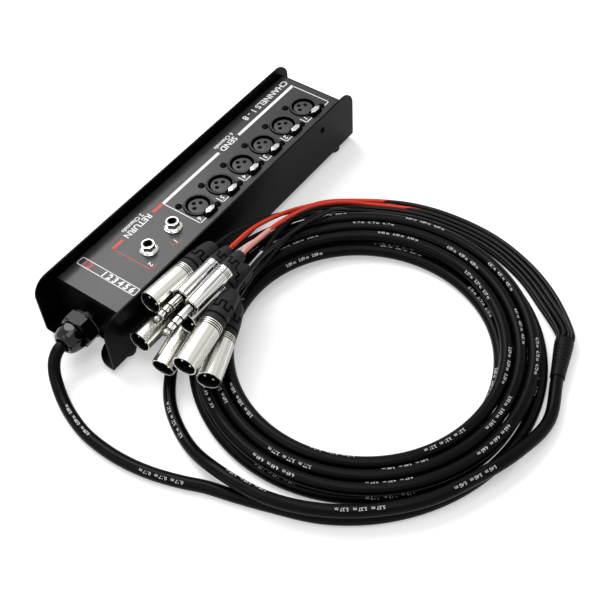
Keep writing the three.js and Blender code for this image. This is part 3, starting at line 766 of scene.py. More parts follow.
def add_piece(
    name: str,
    shell: Shell,
    finish: Finish,
    nodes: Sequence[str] = (),
    place: Array = HERE,
    *,
    body: str = BOX,
    sharp: float = 32.0,
    bevel: float = 0.0,
    sunk: Array | None = None,
) -> bpy.types.Object:
    """Makes one finished piece. Drawn metal gets each point's (x, y, z / 200) before its placement.

    Args:
        name: the piece's name.
        shell: its surface, with its axis on +Z where it is turned or drawn.
        finish: its finish.
        nodes: the CAD nodes it takes the place of.
        place: where its surface goes.
        body: the CAD body it moves with.
        sharp: the angle in degrees above which an edge stays sharp.
        bevel: the width in millimetres of a rounding on its sharp edges.
        sunk: how much painted shade each point takes, from 0 to 1, in grooves and recesses; on the
        sockets, 0 marks the rim's painted highlight.

    Returns:
        The piece.
    """
    mesh = mesh_of(name, shell.moved(place))
    if finish.drawn:
        layer = mesh.attributes.new("drawn", "FLOAT_VECTOR", "POINT")
        streaks = shell.points * (MM, MM, MM / 200)
        layer.data.foreach_set("vector", streaks.astype(np.float32).ravel())
    if sunk is not None:
        layer = mesh.attributes.new("sunk", "FLOAT", "POINT")
        layer.data.foreach_set("value", sunk.astype(np.float32))
    mesh.materials.append(finish.material())
    mesh.polygons.foreach_set("use_smooth", np.ones(len(mesh.polygons), bool))
    piece = placed(name, mesh)
    if bevel:
        rounding = piece.modifiers.new("edge rounding", "BEVEL")
        rounding.width = bevel * MM
        rounding.segments = 2
        rounding.limit_method = "ANGLE"
        rounding.angle_limit = math.radians(sharp)
        rounding.harden_normals = True
    else:
        mesh.set_sharp_from_angle(angle=math.radians(sharp))
    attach(piece, body)
    if nodes:
        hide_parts(*nodes)
    log.info("%s: %d faces", name, len(mesh.polygons))
    return piece


# The plugs


@dataclass(frozen=True)
class Lie:
    """How a plug lies: where its mouth is, its turn about +Z and its tilt, rear end up."""

    mouth: Point
    turn: float
    tilt: float

    def place(self) -> Array:
        """Its placement: +Z runs from the mouth to the boot's end."""
        return shift(*self.mouth) @ turn("Z", self.turn) @ turn("Y", 90 - self.tilt)


@dataclass(frozen=True)
class Meander:
    """A square-cornered groove that winds round a boot and to and fro along it.

    Rolled out flat, its line runs along the boot at 2 count even places, and joins them by turns
    at z = middle + reach and at z = middle - reach. A point's distance from it is the smaller of
    sqrt((r da)^2 + max(|z - middle| - reach, 0)^2), with da to the nearest of the places, and
    |z - middle -+ reach|.

    Attributes:
        middle: the height of the line's middle.
        reach: how far the line runs to each side of it.
        count: how many times it runs to and fro.
        width, depth: the groove's width and depth.
        wall: how wide each of its side walls is.
    """

    middle: float
    reach: float
    count: int
    width: float
    depth: float
    wall: float = 0.5

    def share(self, radius: Array, height: Array, angle: Array) -> Array:
        """How deep points lie in the groove.

        Args:
            radius, height, angle: where they are.

        Returns:
            0 outside it, 1 on its floor, and 3 s^2 - 2 s^3 up its walls.
        """
        part = np.pi / self.count
        off = (angle + part / 2) % part - part / 2
        level = height - self.middle
        along = np.hypot(radius * off, np.maximum(np.abs(level) - self.reach, 0))
        across = np.abs(level - self.reach * np.sign(np.sin(self.count * angle)))
        away = np.minimum(along, across)
        share = np.clip((self.width / 2 + self.wall / 2 - away) / self.wall, 0, 1)
        return share * share * (3 - 2 * share)

    def cut(self, radius: Array, height: Array, angle: Array) -> Array:
        """The radius with the groove taken off."""
        return radius - self.depth * self.share(radius, height, angle)

    def sunk(self, boot: Shell) -> Array:
        """How deep in the groove each of a boot's points is, from 0 to 1."""
        x, y, z = boot.points.T
        return self.share(np.hypot(x, y), z, np.arctan2(y, x))


def ring_depth(shell: Shell, heights: Sequence[float], half: float) -> Array:
    """1 up to `half` from the middle of each turned groove, and 0 elsewhere, for each point."""
    away = np.abs(shell.points[:, 2:] - np.array(heights)).min(1, initial=np.inf)
    return (away < half).astype(float)


@dataclass(frozen=True)
class Plug:
    """A cable plug along +Z from its front end: a turned metal shell and a rubber boot.

    Attributes:
        word: its kind, in its pieces' names.
        metal, jacket: the finishes of its shell and of its tail.
        front: the shell's profile from the axis to its side.
        easings: how far the front's corners, the grooves' and the rear edge are rounded.
        steps, sides: of the shell's roundings and of its full turn.
        radius, shell_end: the shell's radius, and where it ends.
        grooves: heights of its turned grooves.
        groove: their half width and depth, and half the width that is painted dark, as shade.
        boot: the boot's form.
        boot_rings, ring_half: heights and half width of painted-shade rings in the boot's grooves.
        meander: the boot's winding groove.
        boot_end, cable_end: where the boot ends, and where the tail ends inside it.
    """

    word: str
    metal: Finish
    jacket: Finish
    front: tuple[Pair, ...]
    easings: tuple[float, ...]
    steps: int
    sides: int
    radius: float
    shell_end: float
    grooves: tuple[float, ...]
    groove: tuple[float, float, float]
    boot: Turned
    meander: Meander
    boot_end: float
    cable_end: float
    boot_rings: tuple[float, ...] = ()
    ring_half: float = 1.0

    def shell(self) -> Shell:
        """The metal shell with its turned grooves.

        Returns:
            Its surface.
        """
        half, deep, _ = self.groove
        profile = list(self.front)
        for z in self.grooves:
            profile += [(self.radius, z - half), (self.radius - deep, z), (self.radius, z + half)]
        profile += [(self.radius, self.shell_end), (0, self.shell_end)]
        *front, groove, rear = self.easings
        easing = [*front, *[groove] * (3 * len(self.grooves)), rear, 0]
        return Turned(profile, easing, self.steps, self.sides).shell()

    def details(self) -> list[tuple[str, Shell, Finish, Array | None]]:
        """Name, surface, finish and dark places of each of its other pieces.

        Returns:
            One row for each.
        """
        raise NotImplementedError

    def build(self, number: int, lie: Lie) -> list[bpy.types.Object]:
        """Makes the plug where it lies.

        Args:
            number: its number.
            lie: how it lies.

        Returns:
            Its pieces.
        """
        name, place = f"{self.word}_plug_{number}", lie.place()
        shell, boot = self.shell(), self.boot.shell(self.meander.cut)
        # Painted shade: the shell's turned grooves and the boot's winding and collar grooves are
        # darkened.
        dark = ring_depth(shell, self.grooves, self.groove[2])
        body = add_piece(f"{name}_body", shell, self.metal, [f"{name}_shell"], place, sunk=dark)
        dark = np.maximum(self.meander.sunk(boot), ring_depth(boot, self.boot_rings, self.ring_half))
        rubber = [f"{name}_boot"]
        sleeve = add_piece(f"{name}_sleeve", boot, BOOT_RUBBER, rubber, place, sharp=50, sunk=dark)
        return [body, sleeve] + [
            add_piece(f"{name}_{word}", part, finish, place=place, sunk=dark)
            for word, part, finish, dark in self.details()
        ]


POLE_SHELL_END, JACK_SHELL_END = 39.5, 67.7
POLE_START, JACK_START = POLE_SHELL_END + TOUCH_GAP, JACK_SHELL_END + TOUCH_GAP
POLE_BOOT = (
    (0, POLE_START), (9, POLE_START), (9, 44), (8, 44.5), (8, 45.9), (8.9, 46.3), (8.9, 52),
    (8.1, 60), (7.5, 65.5), (6.6, 69.6), (5.5, 72), (2.4, 72), (0, 71),
)
POLE_BOOT_EASING = (0, 0.6, 0.3, 0.2, 0.2, 0.5, 3, 3, 2, 1.5, 0.8, 0.3, 0)
# The insert's thin wall from z = 0.9 up covers the shell's bore in black, as painted shade.
POLE_INSERT = ((0, 11.5), (7.65, 11.5), (7.65, 0.9), (8.1, 0.9), (8.1, 12.9), (0, 12.9))
JACK_BOOT = (
    (0, JACK_START), (6.2, JACK_START), (6.2, 72), (5.6, 78), (4.9, 83), (3.9, 86), (2, 86), (0, 85),
)


@dataclass(frozen=True)
class PolePlug(Plug):
    """Three-pole cable plug, drawn along +Z from its open mouth.

    Attributes:
        insert: the moulded insert on the mouth's floor, with a thin black wall that stands up from it
        over the shell's bore, a dark sheet as painted shade.
        pin: a round-nosed contact pin.
        pin_ring: how far the pins are from the axis.
        pin_angles: where they stand round it.
    """

    word: str = "xlr"
    metal: Finish = SATIN_NICKEL
    jacket: Finish = TAIL_BLACK
    front: tuple[Pair, ...] = ((0, 13), (8.2, 13), (8.2, 0), (9.2, 0))
    easings: tuple[float, ...] = (0, 0.3, 0.3, 0.4, 0.12, 0.6)
    steps: int = 3
    sides: int = 64
    radius: float = 9.2
    shell_end: float = POLE_SHELL_END
    grooves: tuple[float, ...] = (34.6, 36.3, 38.0)
    groove: tuple[float, float, float] = (0.45, 0.6, 0.45)
    boot: Turned = Turned(POLE_BOOT, POLE_BOOT_EASING, sides=144, step=0.3)
    meander: Meander = Meander(54.4, 2.9, 6, 1.5, 1.2)
    boot_end: float = 72.0
    cable_end: float = 49.0
    boot_rings: tuple[float, ...] = (45.2,)
    insert: Turned = Turned(POLE_INSERT, 0.15)
    pin: Turned = Turned(((0, 3.5), (1.1, 3.5), (1.1, 12.5), (0, 12.5)), (0, 0.9, 0, 0), 5, 20)
    pin_ring: float = 3.9
    pin_angles: tuple[float, ...] = (90, 210, 330)

    def details(self) -> list[tuple[str, Shell, Finish, Array | None]]:
        """The insert, and the pins as one piece.

        Returns:
            A row for each.
        """
        pin = self.pin.shell().moved(shift(self.pin_ring, 0, 0))
        pins = joined(*(pin.moved(turn("Z", angle)) for angle in self.pin_angles))
        insert = self.insert.shell()
        return [("insert", insert, DARK_INSERT, None), ("pins", pins, BRIGHT_NICKEL, None)]


@dataclass(frozen=True)
class JackPlug(Plug):
    """Jack plug, drawn along +Z from its tip.

    Attributes:
        point: the finger's profile up to its full radius.
        finger: its radius.
        rings, ring_width: heights and width of the two black rings on it.
        seat: how deep their seats are.
        band: their inner and outer radius.
        collar: the profile of the finger's collar at the barrel.
        painted_shade_places, shades: heights on the finger, and how far it is darkened there, from 0
            to 1:
        painted shade at the tip's neck and the collar, and painted dark reflection on the point.
    """

    word: str = "jack"
    metal: Finish = DRAWN_NICKEL
    jacket: Finish = TAIL_RED
    front: tuple[Pair, ...] = ((0, 29.4), (4.6, 29.4), (4.6, 29.9), (5.9, 29.9), (6.4, 30.5))
    easings: tuple[float, ...] = (0, 0.25, 0.25, 0.25, 0.25, 0.25, 0.25)
    steps: int = 2
    sides: int = 48
    radius: float = 6.4
    shell_end: float = JACK_SHELL_END
    grooves: tuple[float, ...] = (62.6, 63.9, 65.2)
    groove: tuple[float, float, float] = (0.4, 0.3, 0.2)
    boot: Turned = Turned(JACK_BOOT, (0, 0.4, 2, 3, 1.5, 0.7, 0.2, 0), sides=120, step=0.3)
    meander: Meander = Meander(74.6, 2.3, 5, 1.2, 0.9)
    boot_end: float = 86.0
    cable_end: float = 64.0
    point: tuple[Pair, ...] = ((0, 0), (1.2, 0.1), (2.9, 2.4), (2.9, 3.2), (2.1, 5.8), (3.17, 6.9))
    finger: float = 3.17
    rings: Pair = (10.6, 16.8)
    ring_width: float = 1.1
    seat: float = 0.35
    band: Pair = (2.57, 3.12)
    collar: tuple[Pair, ...] = ((3.17, 28.6), (5.2, 28.6), (5.2, 29.5), (0, 29.5))
    painted_shade_places: tuple[float, ...] = (0, 2.2, 3.2, 5.8, 6.8, 28, 28.6)
    painted_shades: tuple[float, ...] = (1, 0.5, 0, 1, 0, 0, 1)

    def details(self) -> list[tuple[str, Shell, Finish, Array | None]]:
        """The finger with its pointed tip and the rings' seats, and the two rings as one piece.

        Returns:
            A row for each.
        """
        profile, bands = list(self.point), []
        for z in self.rings:
            top, sunk = z + self.ring_width, self.finger - self.seat
            profile += [(self.finger, z), (sunk, z + 0.01), (sunk, top), (self.finger, top + 0.01)]
            inner, outer = self.band
            bands.append(Turned(((inner, z), (outer, z), (outer, top), (inner, top)), sides=40))
        finger = Turned([*profile, *self.collar], 0.2, 2).shell()
        # Painted shade at the tip's neck and at the collar, and painted dark reflection on the point.
        dark = np.interp(finger.points[:, 2], self.painted_shade_places, self.painted_shades)
        insulators = joined(*(band.shell() for band in bands))
        return [
            ("finger", finger, DRAWN_NICKEL, dark),
            ("insulators", insulators, DARK_INSERT, None),
        ]


# The trunk cable and the tails


@dataclass(frozen=True)
class TrunkCable:
    """The trunk from the gland to the breakout: a free lead, then a coil in two layers.

    Attributes:
        radius: the cable's radius.
        middle: the coil's middle, seen from above.
        start: azimuth of the coil's first station, in degrees.
        per_turn: stations in one turn.
        pitch: distance between neighbouring turns and between the layers.
        outer: radius of the lower layer's first turn.
        swing: how far outside that turn the cable comes in, and over how many stations.
        lower, climb, upper: stations in each part of the coil.
        dip: how far inward the climb leans.
        rest: height of the cable's axis where it lies on the floor.
        last_turn: radius, and height above the rest, at the last stations.
        lead: the free lead's route from inside the gland.
    """

    radius: float = 4.7
    middle: Pair = (-37.2, -175.7)
    start: float = 188.0
    per_turn: int = 24
    pitch: float = 9.9
    outer: float = 133.0
    swing: tuple[float, int] = (10.0, 6)
    lower: int = 81
    climb: int = 12
    upper: int = 69
    dip: float = 2.0
    rest: float = 4.8
    last_turn: tuple[Pair, ...] = (
        (133, 8.2), (139.8, 2.6), (146, 0), (146.5, 0.8), (145.5, 9.9), (143, 9.9), (139.5, 9.9),
        (136.6, 9.9), (135.3, 9.9), (134.5, 9.9), (138, 8), (143, 2.9), (141, 2.9),
    )
    lead: tuple[Point, ...] = (
        (-145.8, 0, 24.5), (-157, 0, 24.5), (-166, 0, 24.5), (-173, -0.1, 24.2),
        (-179.5, -1.6, 20.6), (-185.5, -5.5, 14.2), (-192, -14.5, 8.2), (-198.5, -27, 5.4),
        (-203.5, -40, 4.8), (-207.7, -56, 4.8), (-209.4, -77.8, 4.8), (-208.2, -97.6, 4.8),
        (-204.7, -116, 4.8), (-198.7, -135.2, 4.8), (-191.6, -153.3, 4.8), (-186.9, -170, 4.8),
    )

    def polar(self, azimuth: Array, radius: Array, height: Array) -> Array:
        """Points by azimuth in degrees about the coil's middle, radius and height.

        Args:
            azimuth, radius, height: where they are.

        Returns:
            The points.
        """
        angle = np.radians(azimuth)
        x = self.middle[0] + radius * np.cos(angle)
        y = self.middle[1] + radius * np.sin(angle)
        return np.stack(np.broadcast_arrays(x, y, height), -1)

    def stations(self) -> Array:
        """The coil's stations.

        The radius falls by one pitch a turn in the lower layer, leans inward by dip sin(pi s)
        over the climb's share s, and grows by one pitch a turn in the upper layer. The climb
        rises by pitch (1 - cos(pi s)) / 2. The last turn has a table of its own.

        Returns:
            n x 3 points.
        """
        step = np.arange(self.lower + self.climb + self.upper + 1)
        turns = step / self.per_turn
        far, span = self.swing
        come_in = far * np.maximum(0, 1 - step / span) ** 2
        share = np.clip((step - self.lower) / self.climb, 0, 1)
        inner = self.outer - self.pitch * self.lower / self.per_turn
        gone = np.maximum(0, step - self.lower - self.climb) / self.per_turn
        radius = np.where(
            step <= self.lower,
            self.outer - self.pitch * turns + come_in,
            inner - self.dip * np.sin(np.pi * share) + self.pitch * gone,
        )
        rise = self.pitch * (1 - np.cos(np.pi * share)) / 2
        radius, rise = np.vstack([np.column_stack([radius, rise]), self.last_turn]).T
        azimuth = self.start + 360 * np.arange(len(radius)) / self.per_turn
        return self.polar(azimuth, radius, self.rest + rise)

    def route(self) -> Route:
        """The cable's centreline from the gland to the breakout, never nearer the floor than r.

        Returns:
            The route.
        """
        path = curve_through(np.vstack([self.lead, self.stations()]), 6)
        path[:, 2] = np.maximum(path[:, 2], self.radius)
        return Route(path)

    def build(self, breakout: bpy.types.Object) -> None:
        """Args:
            breakout: the breakout's piece; not used.
        """
        route = self.route()
        shell, nodes = route.tube(self.radius), ["trunk_lead", "trunk_coil"]
        cable = add_piece("trunk_cable", shell, JACKET_BLACK, nodes)


@dataclass(frozen=True)
class LengthMarks:
    """Plain white numbers along the trunk, its length in metres, three times at each place.

    Attributes:
        trunk: the cable.
        first, step: distance along the trunk to the first mark and between marks.
        height, ink: height of the figures, and how far they stand out.
        roll: how far to each side of the top the marks wander, in degrees.
        wander: how much of that wave passes from mark to mark, in radians.
    """

    trunk: TrunkCable
    first: float = 90.0
    step: float = 80.0
    height: float = 2.3
    ink: float = 0.05
    roll: float = 38.0
    wander: float = 2.1

    def build(self) -> None:
        """Makes the marks, bent onto the cable.

        A figure's point (x, y, z) goes to the distance s - x along the cable, at the angle
        roll + y / r from its side and at r + z from its centreline.
        """
        route, radius = self.trunk.route(), self.trunk.radius
        marks = []
        for i in range(int((route.along[-1] - self.first) / self.step)):
            place = self.first + i * self.step
            metres = "   ".join([f"{place * MM:.2f} m"] * 3)
            flat = lettering(metres, self.height, self.ink)
            x, y, z = flat.points.T
            base = math.radians(90 + self.roll * math.sin(self.wander * i))
            points = route.around(place - x, base + y / radius, radius + z)
            marks.append(Shell(points, flat.corners, flat.counts))
        add_piece("length_marks", joined(*marks), MARK_WHITE)


@dataclass(frozen=True)
class Breakout:
    """The rubber boot where the trunk splits into its tails.

    Attributes:
        trunk: the cable.
        length: from end to end.
        collar: length of the straight part at each end.
        small, large: radius at the trunk's end and at the tails' end.
        ring: radius of the ring in which the tails leave.
        tails: how many tails.
        rib, rib_pitch: depth and distance of the shallow rings round its middle.
        clear: how far the rings stay from the straight parts.
    """

    trunk: TrunkCable
    length: float = 34.0
    collar: float = 5.0
    small: float = 5.5
    large: float = 7.1
    ring: float = 5.35
    tails: int = 8
    rib: float = 0.35
    rib_pitch: float = 3.2
    clear: float = 2.0

    def place(self) -> Array:
        """Its placement: +Z goes on from the trunk's end, and +X points into the coil.

        Returns:
            A 4 x 4 placement.
        """
        before, end = self.trunk.stations()[-2:]
        heading = unit(end - before)
        inward = unit(np.array([-heading[1], heading[0], 0]))
        return axes(inward, np.cross(heading, inward), heading, end + TOUCH_GAP * heading)

    def outlet(self, index: int, beyond: float) -> Array:
        """The point of the ring where a tail leaves, a distance past the boot's end.

        Args:
            index: the tail's place in the ring.
            beyond: the distance.

        Returns:
            The point.
        """
        angle = 2 * math.pi * (index + 0.5) / self.tails
        point = (self.ring * math.cos(angle), self.ring * math.sin(angle), self.length + beyond)
        return through(np.array(point), self.place())

    def ribbed(self, radius: Array, height: Array, angle: Array) -> Array:
        """The radius with the rings taken off, where sin(2 pi z / pitch) is over 0.3.

        Args:
            radius, height, angle: where points are.

        Returns:
            Their new radius.
        """
        end = self.collar + self.clear
        inside = (height > end) & (height < self.length - end)
        return radius - self.rib * inside * (np.sin(2 * np.pi * height / self.rib_pitch) > 0.3)

    def build(self) -> bpy.types.Object:
        """Makes the boot.

        Returns:
            Its piece.
        """
        high = self.length - self.collar
        profile = [(0, 0), (self.small, 0), (self.small, self.collar), (self.large, high)]
        profile += [(self.large, self.length), (0, self.length)]
        boot = Turned(profile, (0, 0.8, 3, 3, 0.8, 0), sides=40, step=0.5).shell(self.ribbed)
        nodes = ["breakout_boot"]
        return add_piece("breakout", boot, BREAKOUT_RUBBER, nodes, self.place(), sharp=50)


@dataclass(frozen=True)
class Sleeve:
    """A thin sleeve over part of a tail.

    Attributes:
        finish: its finish.
        start: where it starts, along the tail.
        length: its length.
        from_plug: whether it is measured from the plug's boot, and not from the breakout.
        wall: how far it stands out.
        slant: how much longer it is on its outer side than on its inner side.
        sides: how many sides its ring has.
    """

    finish: Finish
    start: float
    length: float
    from_plug: bool = True
    wall: float = 0.25
    slant: float = 0.0
    sides: int = 24

    def shell(self, route: Route, inside: float, radius: float) -> Shell:
        """The sleeve as a tube over the tail.

        At the share t of its length and the angle a round the tail, a point lies at the place
        low + t (length + slant (1 + sin(a + 45 degrees)) / 2) along the tail.

        Args:
            route: the tail's centreline from the breakout.
            inside: how much of it is hidden in the plug.
            radius: the tail's radius.

        Returns:
            The sleeve's surface.
        """
        low = route.along[-1] - inside - self.start - self.length if self.from_plug else self.start
        share = np.linspace(0, 1, max(int(self.length / 2), 8))[:, None]
        angle = circle(self.sides)
        places = low + share * (self.length + self.slant * (1 + np.sin(angle + np.pi / 4)) / 2)
        rings = route.around(places, angle, radius + self.wall)
        return skin(rings, rings[[0, -1]].mean(1))


@dataclass(frozen=True)
class Tail:
    """One tail from the breakout to its plug.

    Attributes:
        number: its plug's number.
        lie: how its plug lies.
        slot: its place in the breakout's ring.
        stops: its route by azimuth about the coil's middle, radius and height.
        sleeves: the sleeves that it wears.
        radius: the tail's radius.
        settle: straight part at each end.
    """

    number: int
    lie: Lie
    slot: int
    stops: tuple[Point, ...]
    sleeves: tuple[Sleeve, ...] = ()
    radius: float = 1.75
    settle: float = 5.0

    def route(self, trunk: TrunkCable, breakout: Breakout, plug: Plug) -> Route:
        """The tail's centreline, from the breakout to the place inside the plug where it ends.

        Args:
            trunk: the cable whose coil it lies on.
            breakout: the boot that it comes from.
            plug: its kind of plug.

        Returns:
            The route.
        """
        heights = (plug.boot_end + self.settle, plug.boot_end + TOUCH_GAP, plug.cable_end)
        controls = [
            breakout.outlet(self.slot, TOUCH_GAP),
            breakout.outlet(self.slot, self.settle),
            trunk.polar(*np.array(self.stops, float).T),
            through(np.array([[0, 0, height] for height in heights]), self.lie.place()),
        ]
        return Route(curve_through(np.vstack(controls), 8))

    def build(self, trunk: TrunkCable, breakout: Breakout, plug: Plug) -> None:
        """Args:
            trunk: the cable whose coil it lies on.
            breakout: the boot that it comes from.
            plug: its kind of plug.
        """
        route = self.route(trunk, breakout, plug)
        pieces = plug.build(self.number, self.lie)
        name, node = f"tail_{plug.word}_{self.number}", f"{plug.word}_tail_{self.number}"
        tail = add_piece(name, route.tube(self.radius, 12), plug.jacket, [node])
        for i, sleeve in enumerate(self.sleeves, 1):
            shell = sleeve.shell(route, plug.boot_end - plug.cable_end, self.radius)
            pieces.append(add_piece(f"{name}_sleeve_{i}", shell, sleeve.finish))


POLE_TAILS = (
    Tail(1, Lie((-116.6, -45.6, 52.3), 0.5, -5), 4, (
        (-38, 154.2, 2.1), (-24, 154.2, 2.1), (-8, 154.2, 2.1), (12, 154.2, 2.1), (30, 154.2, 2.1),
        (38, 153, 3.2), (45, 149.5, 8.5), (50, 145, 14), (59.2, 136.4, 25), (67.3, 133.1, 32),
        (75.7, 130.4, 38), (84.3, 130.8, 43),
    )),
    Tail(2, Lie((-135.7, -47, 27.7), 2.3, -2.8), 5, (
        (-38, 149.9, 2.1), (-24, 149.9, 2.1), (-8, 149.9, 2.1), (14, 149.9, 2.1), (32, 149.9, 2.1),
        (40, 148.5, 2.6), (47, 145.5, 4.8), (55, 141.5, 8.8), (65, 137, 14.3), (75, 134.5, 18.5),
        (85, 133.5, 20.8),
    )),
    Tail(3, Lie((-141.4, -73.3, 22.3), 10.8, 4.8), 6, (
        (-38, 145.7, 2.1), (-24, 145.7, 2.1), (-8, 145.7, 2.1), (14, 145.7, 2.1), (30, 145.7, 2.1),
        (37, 144.8, 3.2), (43, 142.5, 7), (50, 138.5, 13), (58, 131.5, 20.5), (66, 125.8, 22.5),
        (78, 121, 25), (88, 119.5, 27.5),
    )),
    Tail(4, Lie((-145.1, -101.4, 50.4), 10.9, -0.3), 0, (
        (-38, 141.5, 7), (-24, 141.5, 6.3), (-8, 141.5, 6.3), (14, 141.5, 6.3), (30, 141.5, 6.6),
        (38, 139.3, 10.5), (44, 133.5, 19), (52, 121, 26.5), (62.7, 109, 33.5), (75.4, 99.5, 40),
        (88, 94.5, 46),
    )),
    Tail(5, Lie((-135, -111.8, 30.1), 23.1, -2.2), 7, (
        (-38, 141.5, 2.1), (-24, 141.5, 2.1), (-8, 141.5, 2.1), (14, 141.5, 2.1), (28, 141.5, 2.3),
        (33, 141, 2.9), (38.5, 139.2, 6.2), (44, 136.3, 14.6), (52, 128, 21.8), (62, 117.5, 21.8),
        (75, 107, 21.8), (88, 102.2, 22.2), (100.5, 99.6, 23.6),
    )),
    Tail(6, Lie((-111.9, -74.7, 44.7), 1.2, -8.2), 1, (
        (-38, 145.7, 7), (-24, 145.7, 6.3), (-8, 145.7, 6.3), (14, 145.7, 6.3), (31, 145.7, 6.6),
        (38, 144.5, 9), (44, 141.3, 13), (50, 137.5, 19), (58, 129.5, 25.5), (66, 121, 27.5),
        (78, 109.5, 28.5),
    ), (Sleeve(SLEEVE_WHITE, 0.0, 24.0),)),
)
JACK_TAILS = (
    Tail(1, Lie((-129.9, -61.6, 54.8), 1, -2.2), 3, (
        (-38, 154.2, 7), (-24, 154.2, 6.3), (-8, 154.2, 6.3), (10, 154.2, 6.3), (24, 154.5, 6.3),
        (36, 153.5, 7.5), (45, 148.6, 14), (52, 140, 22), (60, 132, 31), (70, 123.5, 41),
        (80, 117.6, 49),
    ), (Sleeve(TAIL_BLACK, 0.0, 180.0, from_plug=False, slant=40),)),
    Tail(2, Lie((-136.2, -76.4, 57.3), -1.7, 4.8), 2, (
        (-38, 149.9, 7), (-24, 149.9, 6.3), (-8, 149.9, 6.3), (14, 149.9, 6.3), (32, 149.9, 6.6),
        (41, 147, 13), (51.8, 135.7, 25), (57.7, 126.4, 33), (70.6, 110.4, 47), (83, 100.9, 57),
    ), (
        Sleeve(TAIL_BLACK, 0.0, 135.0, from_plug=False, slant=60),
        Sleeve(SLEEVE_PINK, 0.0, 42.0),
    )),
)


# The box


@dataclass(frozen=True)
class Chassis:
    """One folded sheet: a floor and two tall side walls.

    The sheet is a grid: s runs down one wall, across the floor and up the other wall, and at each
    s the sheet reaches from x low(s) to x high(s).

    Attributes:
        sheet: the steel's thickness.
        half_length: half of the walls' length.
        base, top: heights of the floor's underside and of the walls' top edges.
        corner: radius of the walls' corners.
        bend: radius of the fold, seen from outside.
        foot: height at which the walls' last even row lies, above the fold.
        tab, rear_tab: radius of the floor's corners at the gland's end and at the other end.
        tab_side: how far they stay from the walls' faces.
        floor_rows: distances of the floor's middle rows.
    """

    sheet: float = 1.5
    half_length: float = 155.5
    base: float = 5.0
    top: float = 55.6
    corner: float = 14.5
    bend: float = 2.2
    foot: float = 9.0
    tab: float = 17.5
    rear_tab: float = 7.0
    tab_side: float = 6.0
    floor_rows: tuple[float, ...] = (0.0, 4.0, 8.0)

    def side(self) -> Array:
        """Half of the fold from the wall's top edge to the floor's middle.

        Returns:
            Rows of y and z on the outer face, and of the sheet's reach to -X and to +X.
        """
        quarter = np.linspace(0, np.pi / 2, 13)
        sine, fall = np.sin(quarter), 1 - np.cos(quarter)
        end, wall, shoulder = self.half_length, WALL_FACE, self.top - self.corner
        ear = end - self.corner * (1 - sine)
        front, rear = (wall - self.tab_side - radius * sine for radius in (self.tab, self.rear_tab))
        floor = np.unique(np.concatenate([front, rear, self.floor_rows]))[::-1]
        low = np.interp(floor, front[::-1], end - self.tab * fall[::-1])
        high = np.interp(floor, rear[::-1], end - self.rear_tab * fall[::-1])
        fold = wall - self.bend * fall[1:], self.base + self.bend * (1 - sine[1:])
        parts = (
            (wall, self.top - self.corner * fall, -ear, ear),
            (wall, np.linspace(shoulder, self.foot, 6)[1:], -end, end),
            (*fold, -end, end),
            (floor, self.base, -low, high),
        )
        return np.vstack([np.column_stack(np.broadcast_arrays(*part)) for part in parts])

    def shell(self) -> Shell:
        """The sheet: its outer face, and the same moved inward by the sheet's thickness.

        Returns:
            The surface, its two ends closed by rows of quads.
        """
        half = self.side()
        rows = np.vstack([half * (-1, 1, 1, 1), half[-2::-1]])
        outer, low, high = rows[:, :2], rows[:, 2:3], rows[:, 3:]
        along = np.gradient(outer, axis=0)
        along[np.abs(along) < 1e-6] = 0
        inner = outer + self.sheet * unit(np.stack([-along[:, 1], along[:, 0]], -1))
        x = low + (high - low) * np.linspace(0, 1, 13)
        faces = [
            np.concatenate([x[..., None], np.broadcast_to(line[:, None], (*x.shape, 2))], -1)
            for line in (outer, inner)
        ]
        rings = np.concatenate([faces[0], faces[1][:, ::-1]], 1)
        count, sides = rings.shape[:2]
        grid, half_ring = ring_indices(count, sides), sides // 2
        back = np.arange(sides - 1, half_ring - 1, -1)
        pairs = np.stack([grid[[0, -1], :half_ring], grid[[0, -1]][:, back]], 1)
        corners = np.concatenate([quads_of(grid), quads_of(pairs[0].T), quads_of(pairs[1])])
        return Shell(rings.reshape(-1, 3), corners, np.full(corners.size // 4, 4)).outward()

    def build(self) -> None:
        """Makes the chassis."""
        add_piece("chassis_sheet", self.shell(), POWDER_BLACK, ["chassis"], sharp=50, bevel=0.25)


@dataclass(frozen=True)
class Screw:
    """A pan-head screw with a cross recess, its head standing along +Z.

    Attributes:
        radius, height: of the head.
        stem, stem_depth: the stem's radius and length.
        sink: how far the head's underside sinks in.
        cross, cross_half, cross_depth: the recess's reach, half width and depth.
    """

    radius: float = 2.9
    height: float = 1.6
    stem: float = 1.3
    stem_depth: float = 6.0
    sink: float = 0.01
    cross: float = 1.5
    cross_half: float = 0.32
    cross_depth: float = 0.9

    def shell(self) -> Shell:
        """The head, r cos a wide at the height h (sin a)^0.9, and a plain stem.

        Returns:
            The surface.
        """
        a = np.linspace(0, np.pi / 2, 8)[:-1]
        dome = np.column_stack([self.radius * np.cos(a), self.height * np.sin(a) ** 0.9])
        stem = [(0, -self.stem_depth), (self.stem, -self.stem_depth), (self.stem, -self.sink)]
        profile = [*stem, (self.radius, -self.sink), *dome, (0, self.height)]
        low, high = self.height - self.cross_depth, self.height + 1
        long, thin = self.cross, self.cross_half
        bars = [Block((-x, -y, low), (x, y, high)) for x, y in ((long, thin), (thin, long))]
        return carved(Turned(profile, sides=32).shell(), [bar.shell() for bar in bars])


@dataclass(frozen=True)
class WallScrews:
    """The four screws that hold the panel between the walls.

    Attributes:
        places: where the two screws of each wall are along X.
        height: how high they sit.
    """

    places: Pair = (111.8, -98.8)
    height: float = 41.7

    def build(self, screw: Shell) -> None:
        """Makes the four screws, two in each wall."""
        for side, label in ((-1, "near"), (1, "far")):
            for number, x in enumerate(self.places, 1):
                place = shift(x, side * WALL_FACE, self.height) @ turn("X", -90 * side)
                add_piece(f"wall_screw_{label}_{number}", screw, BLACK_SCREW, place=place)


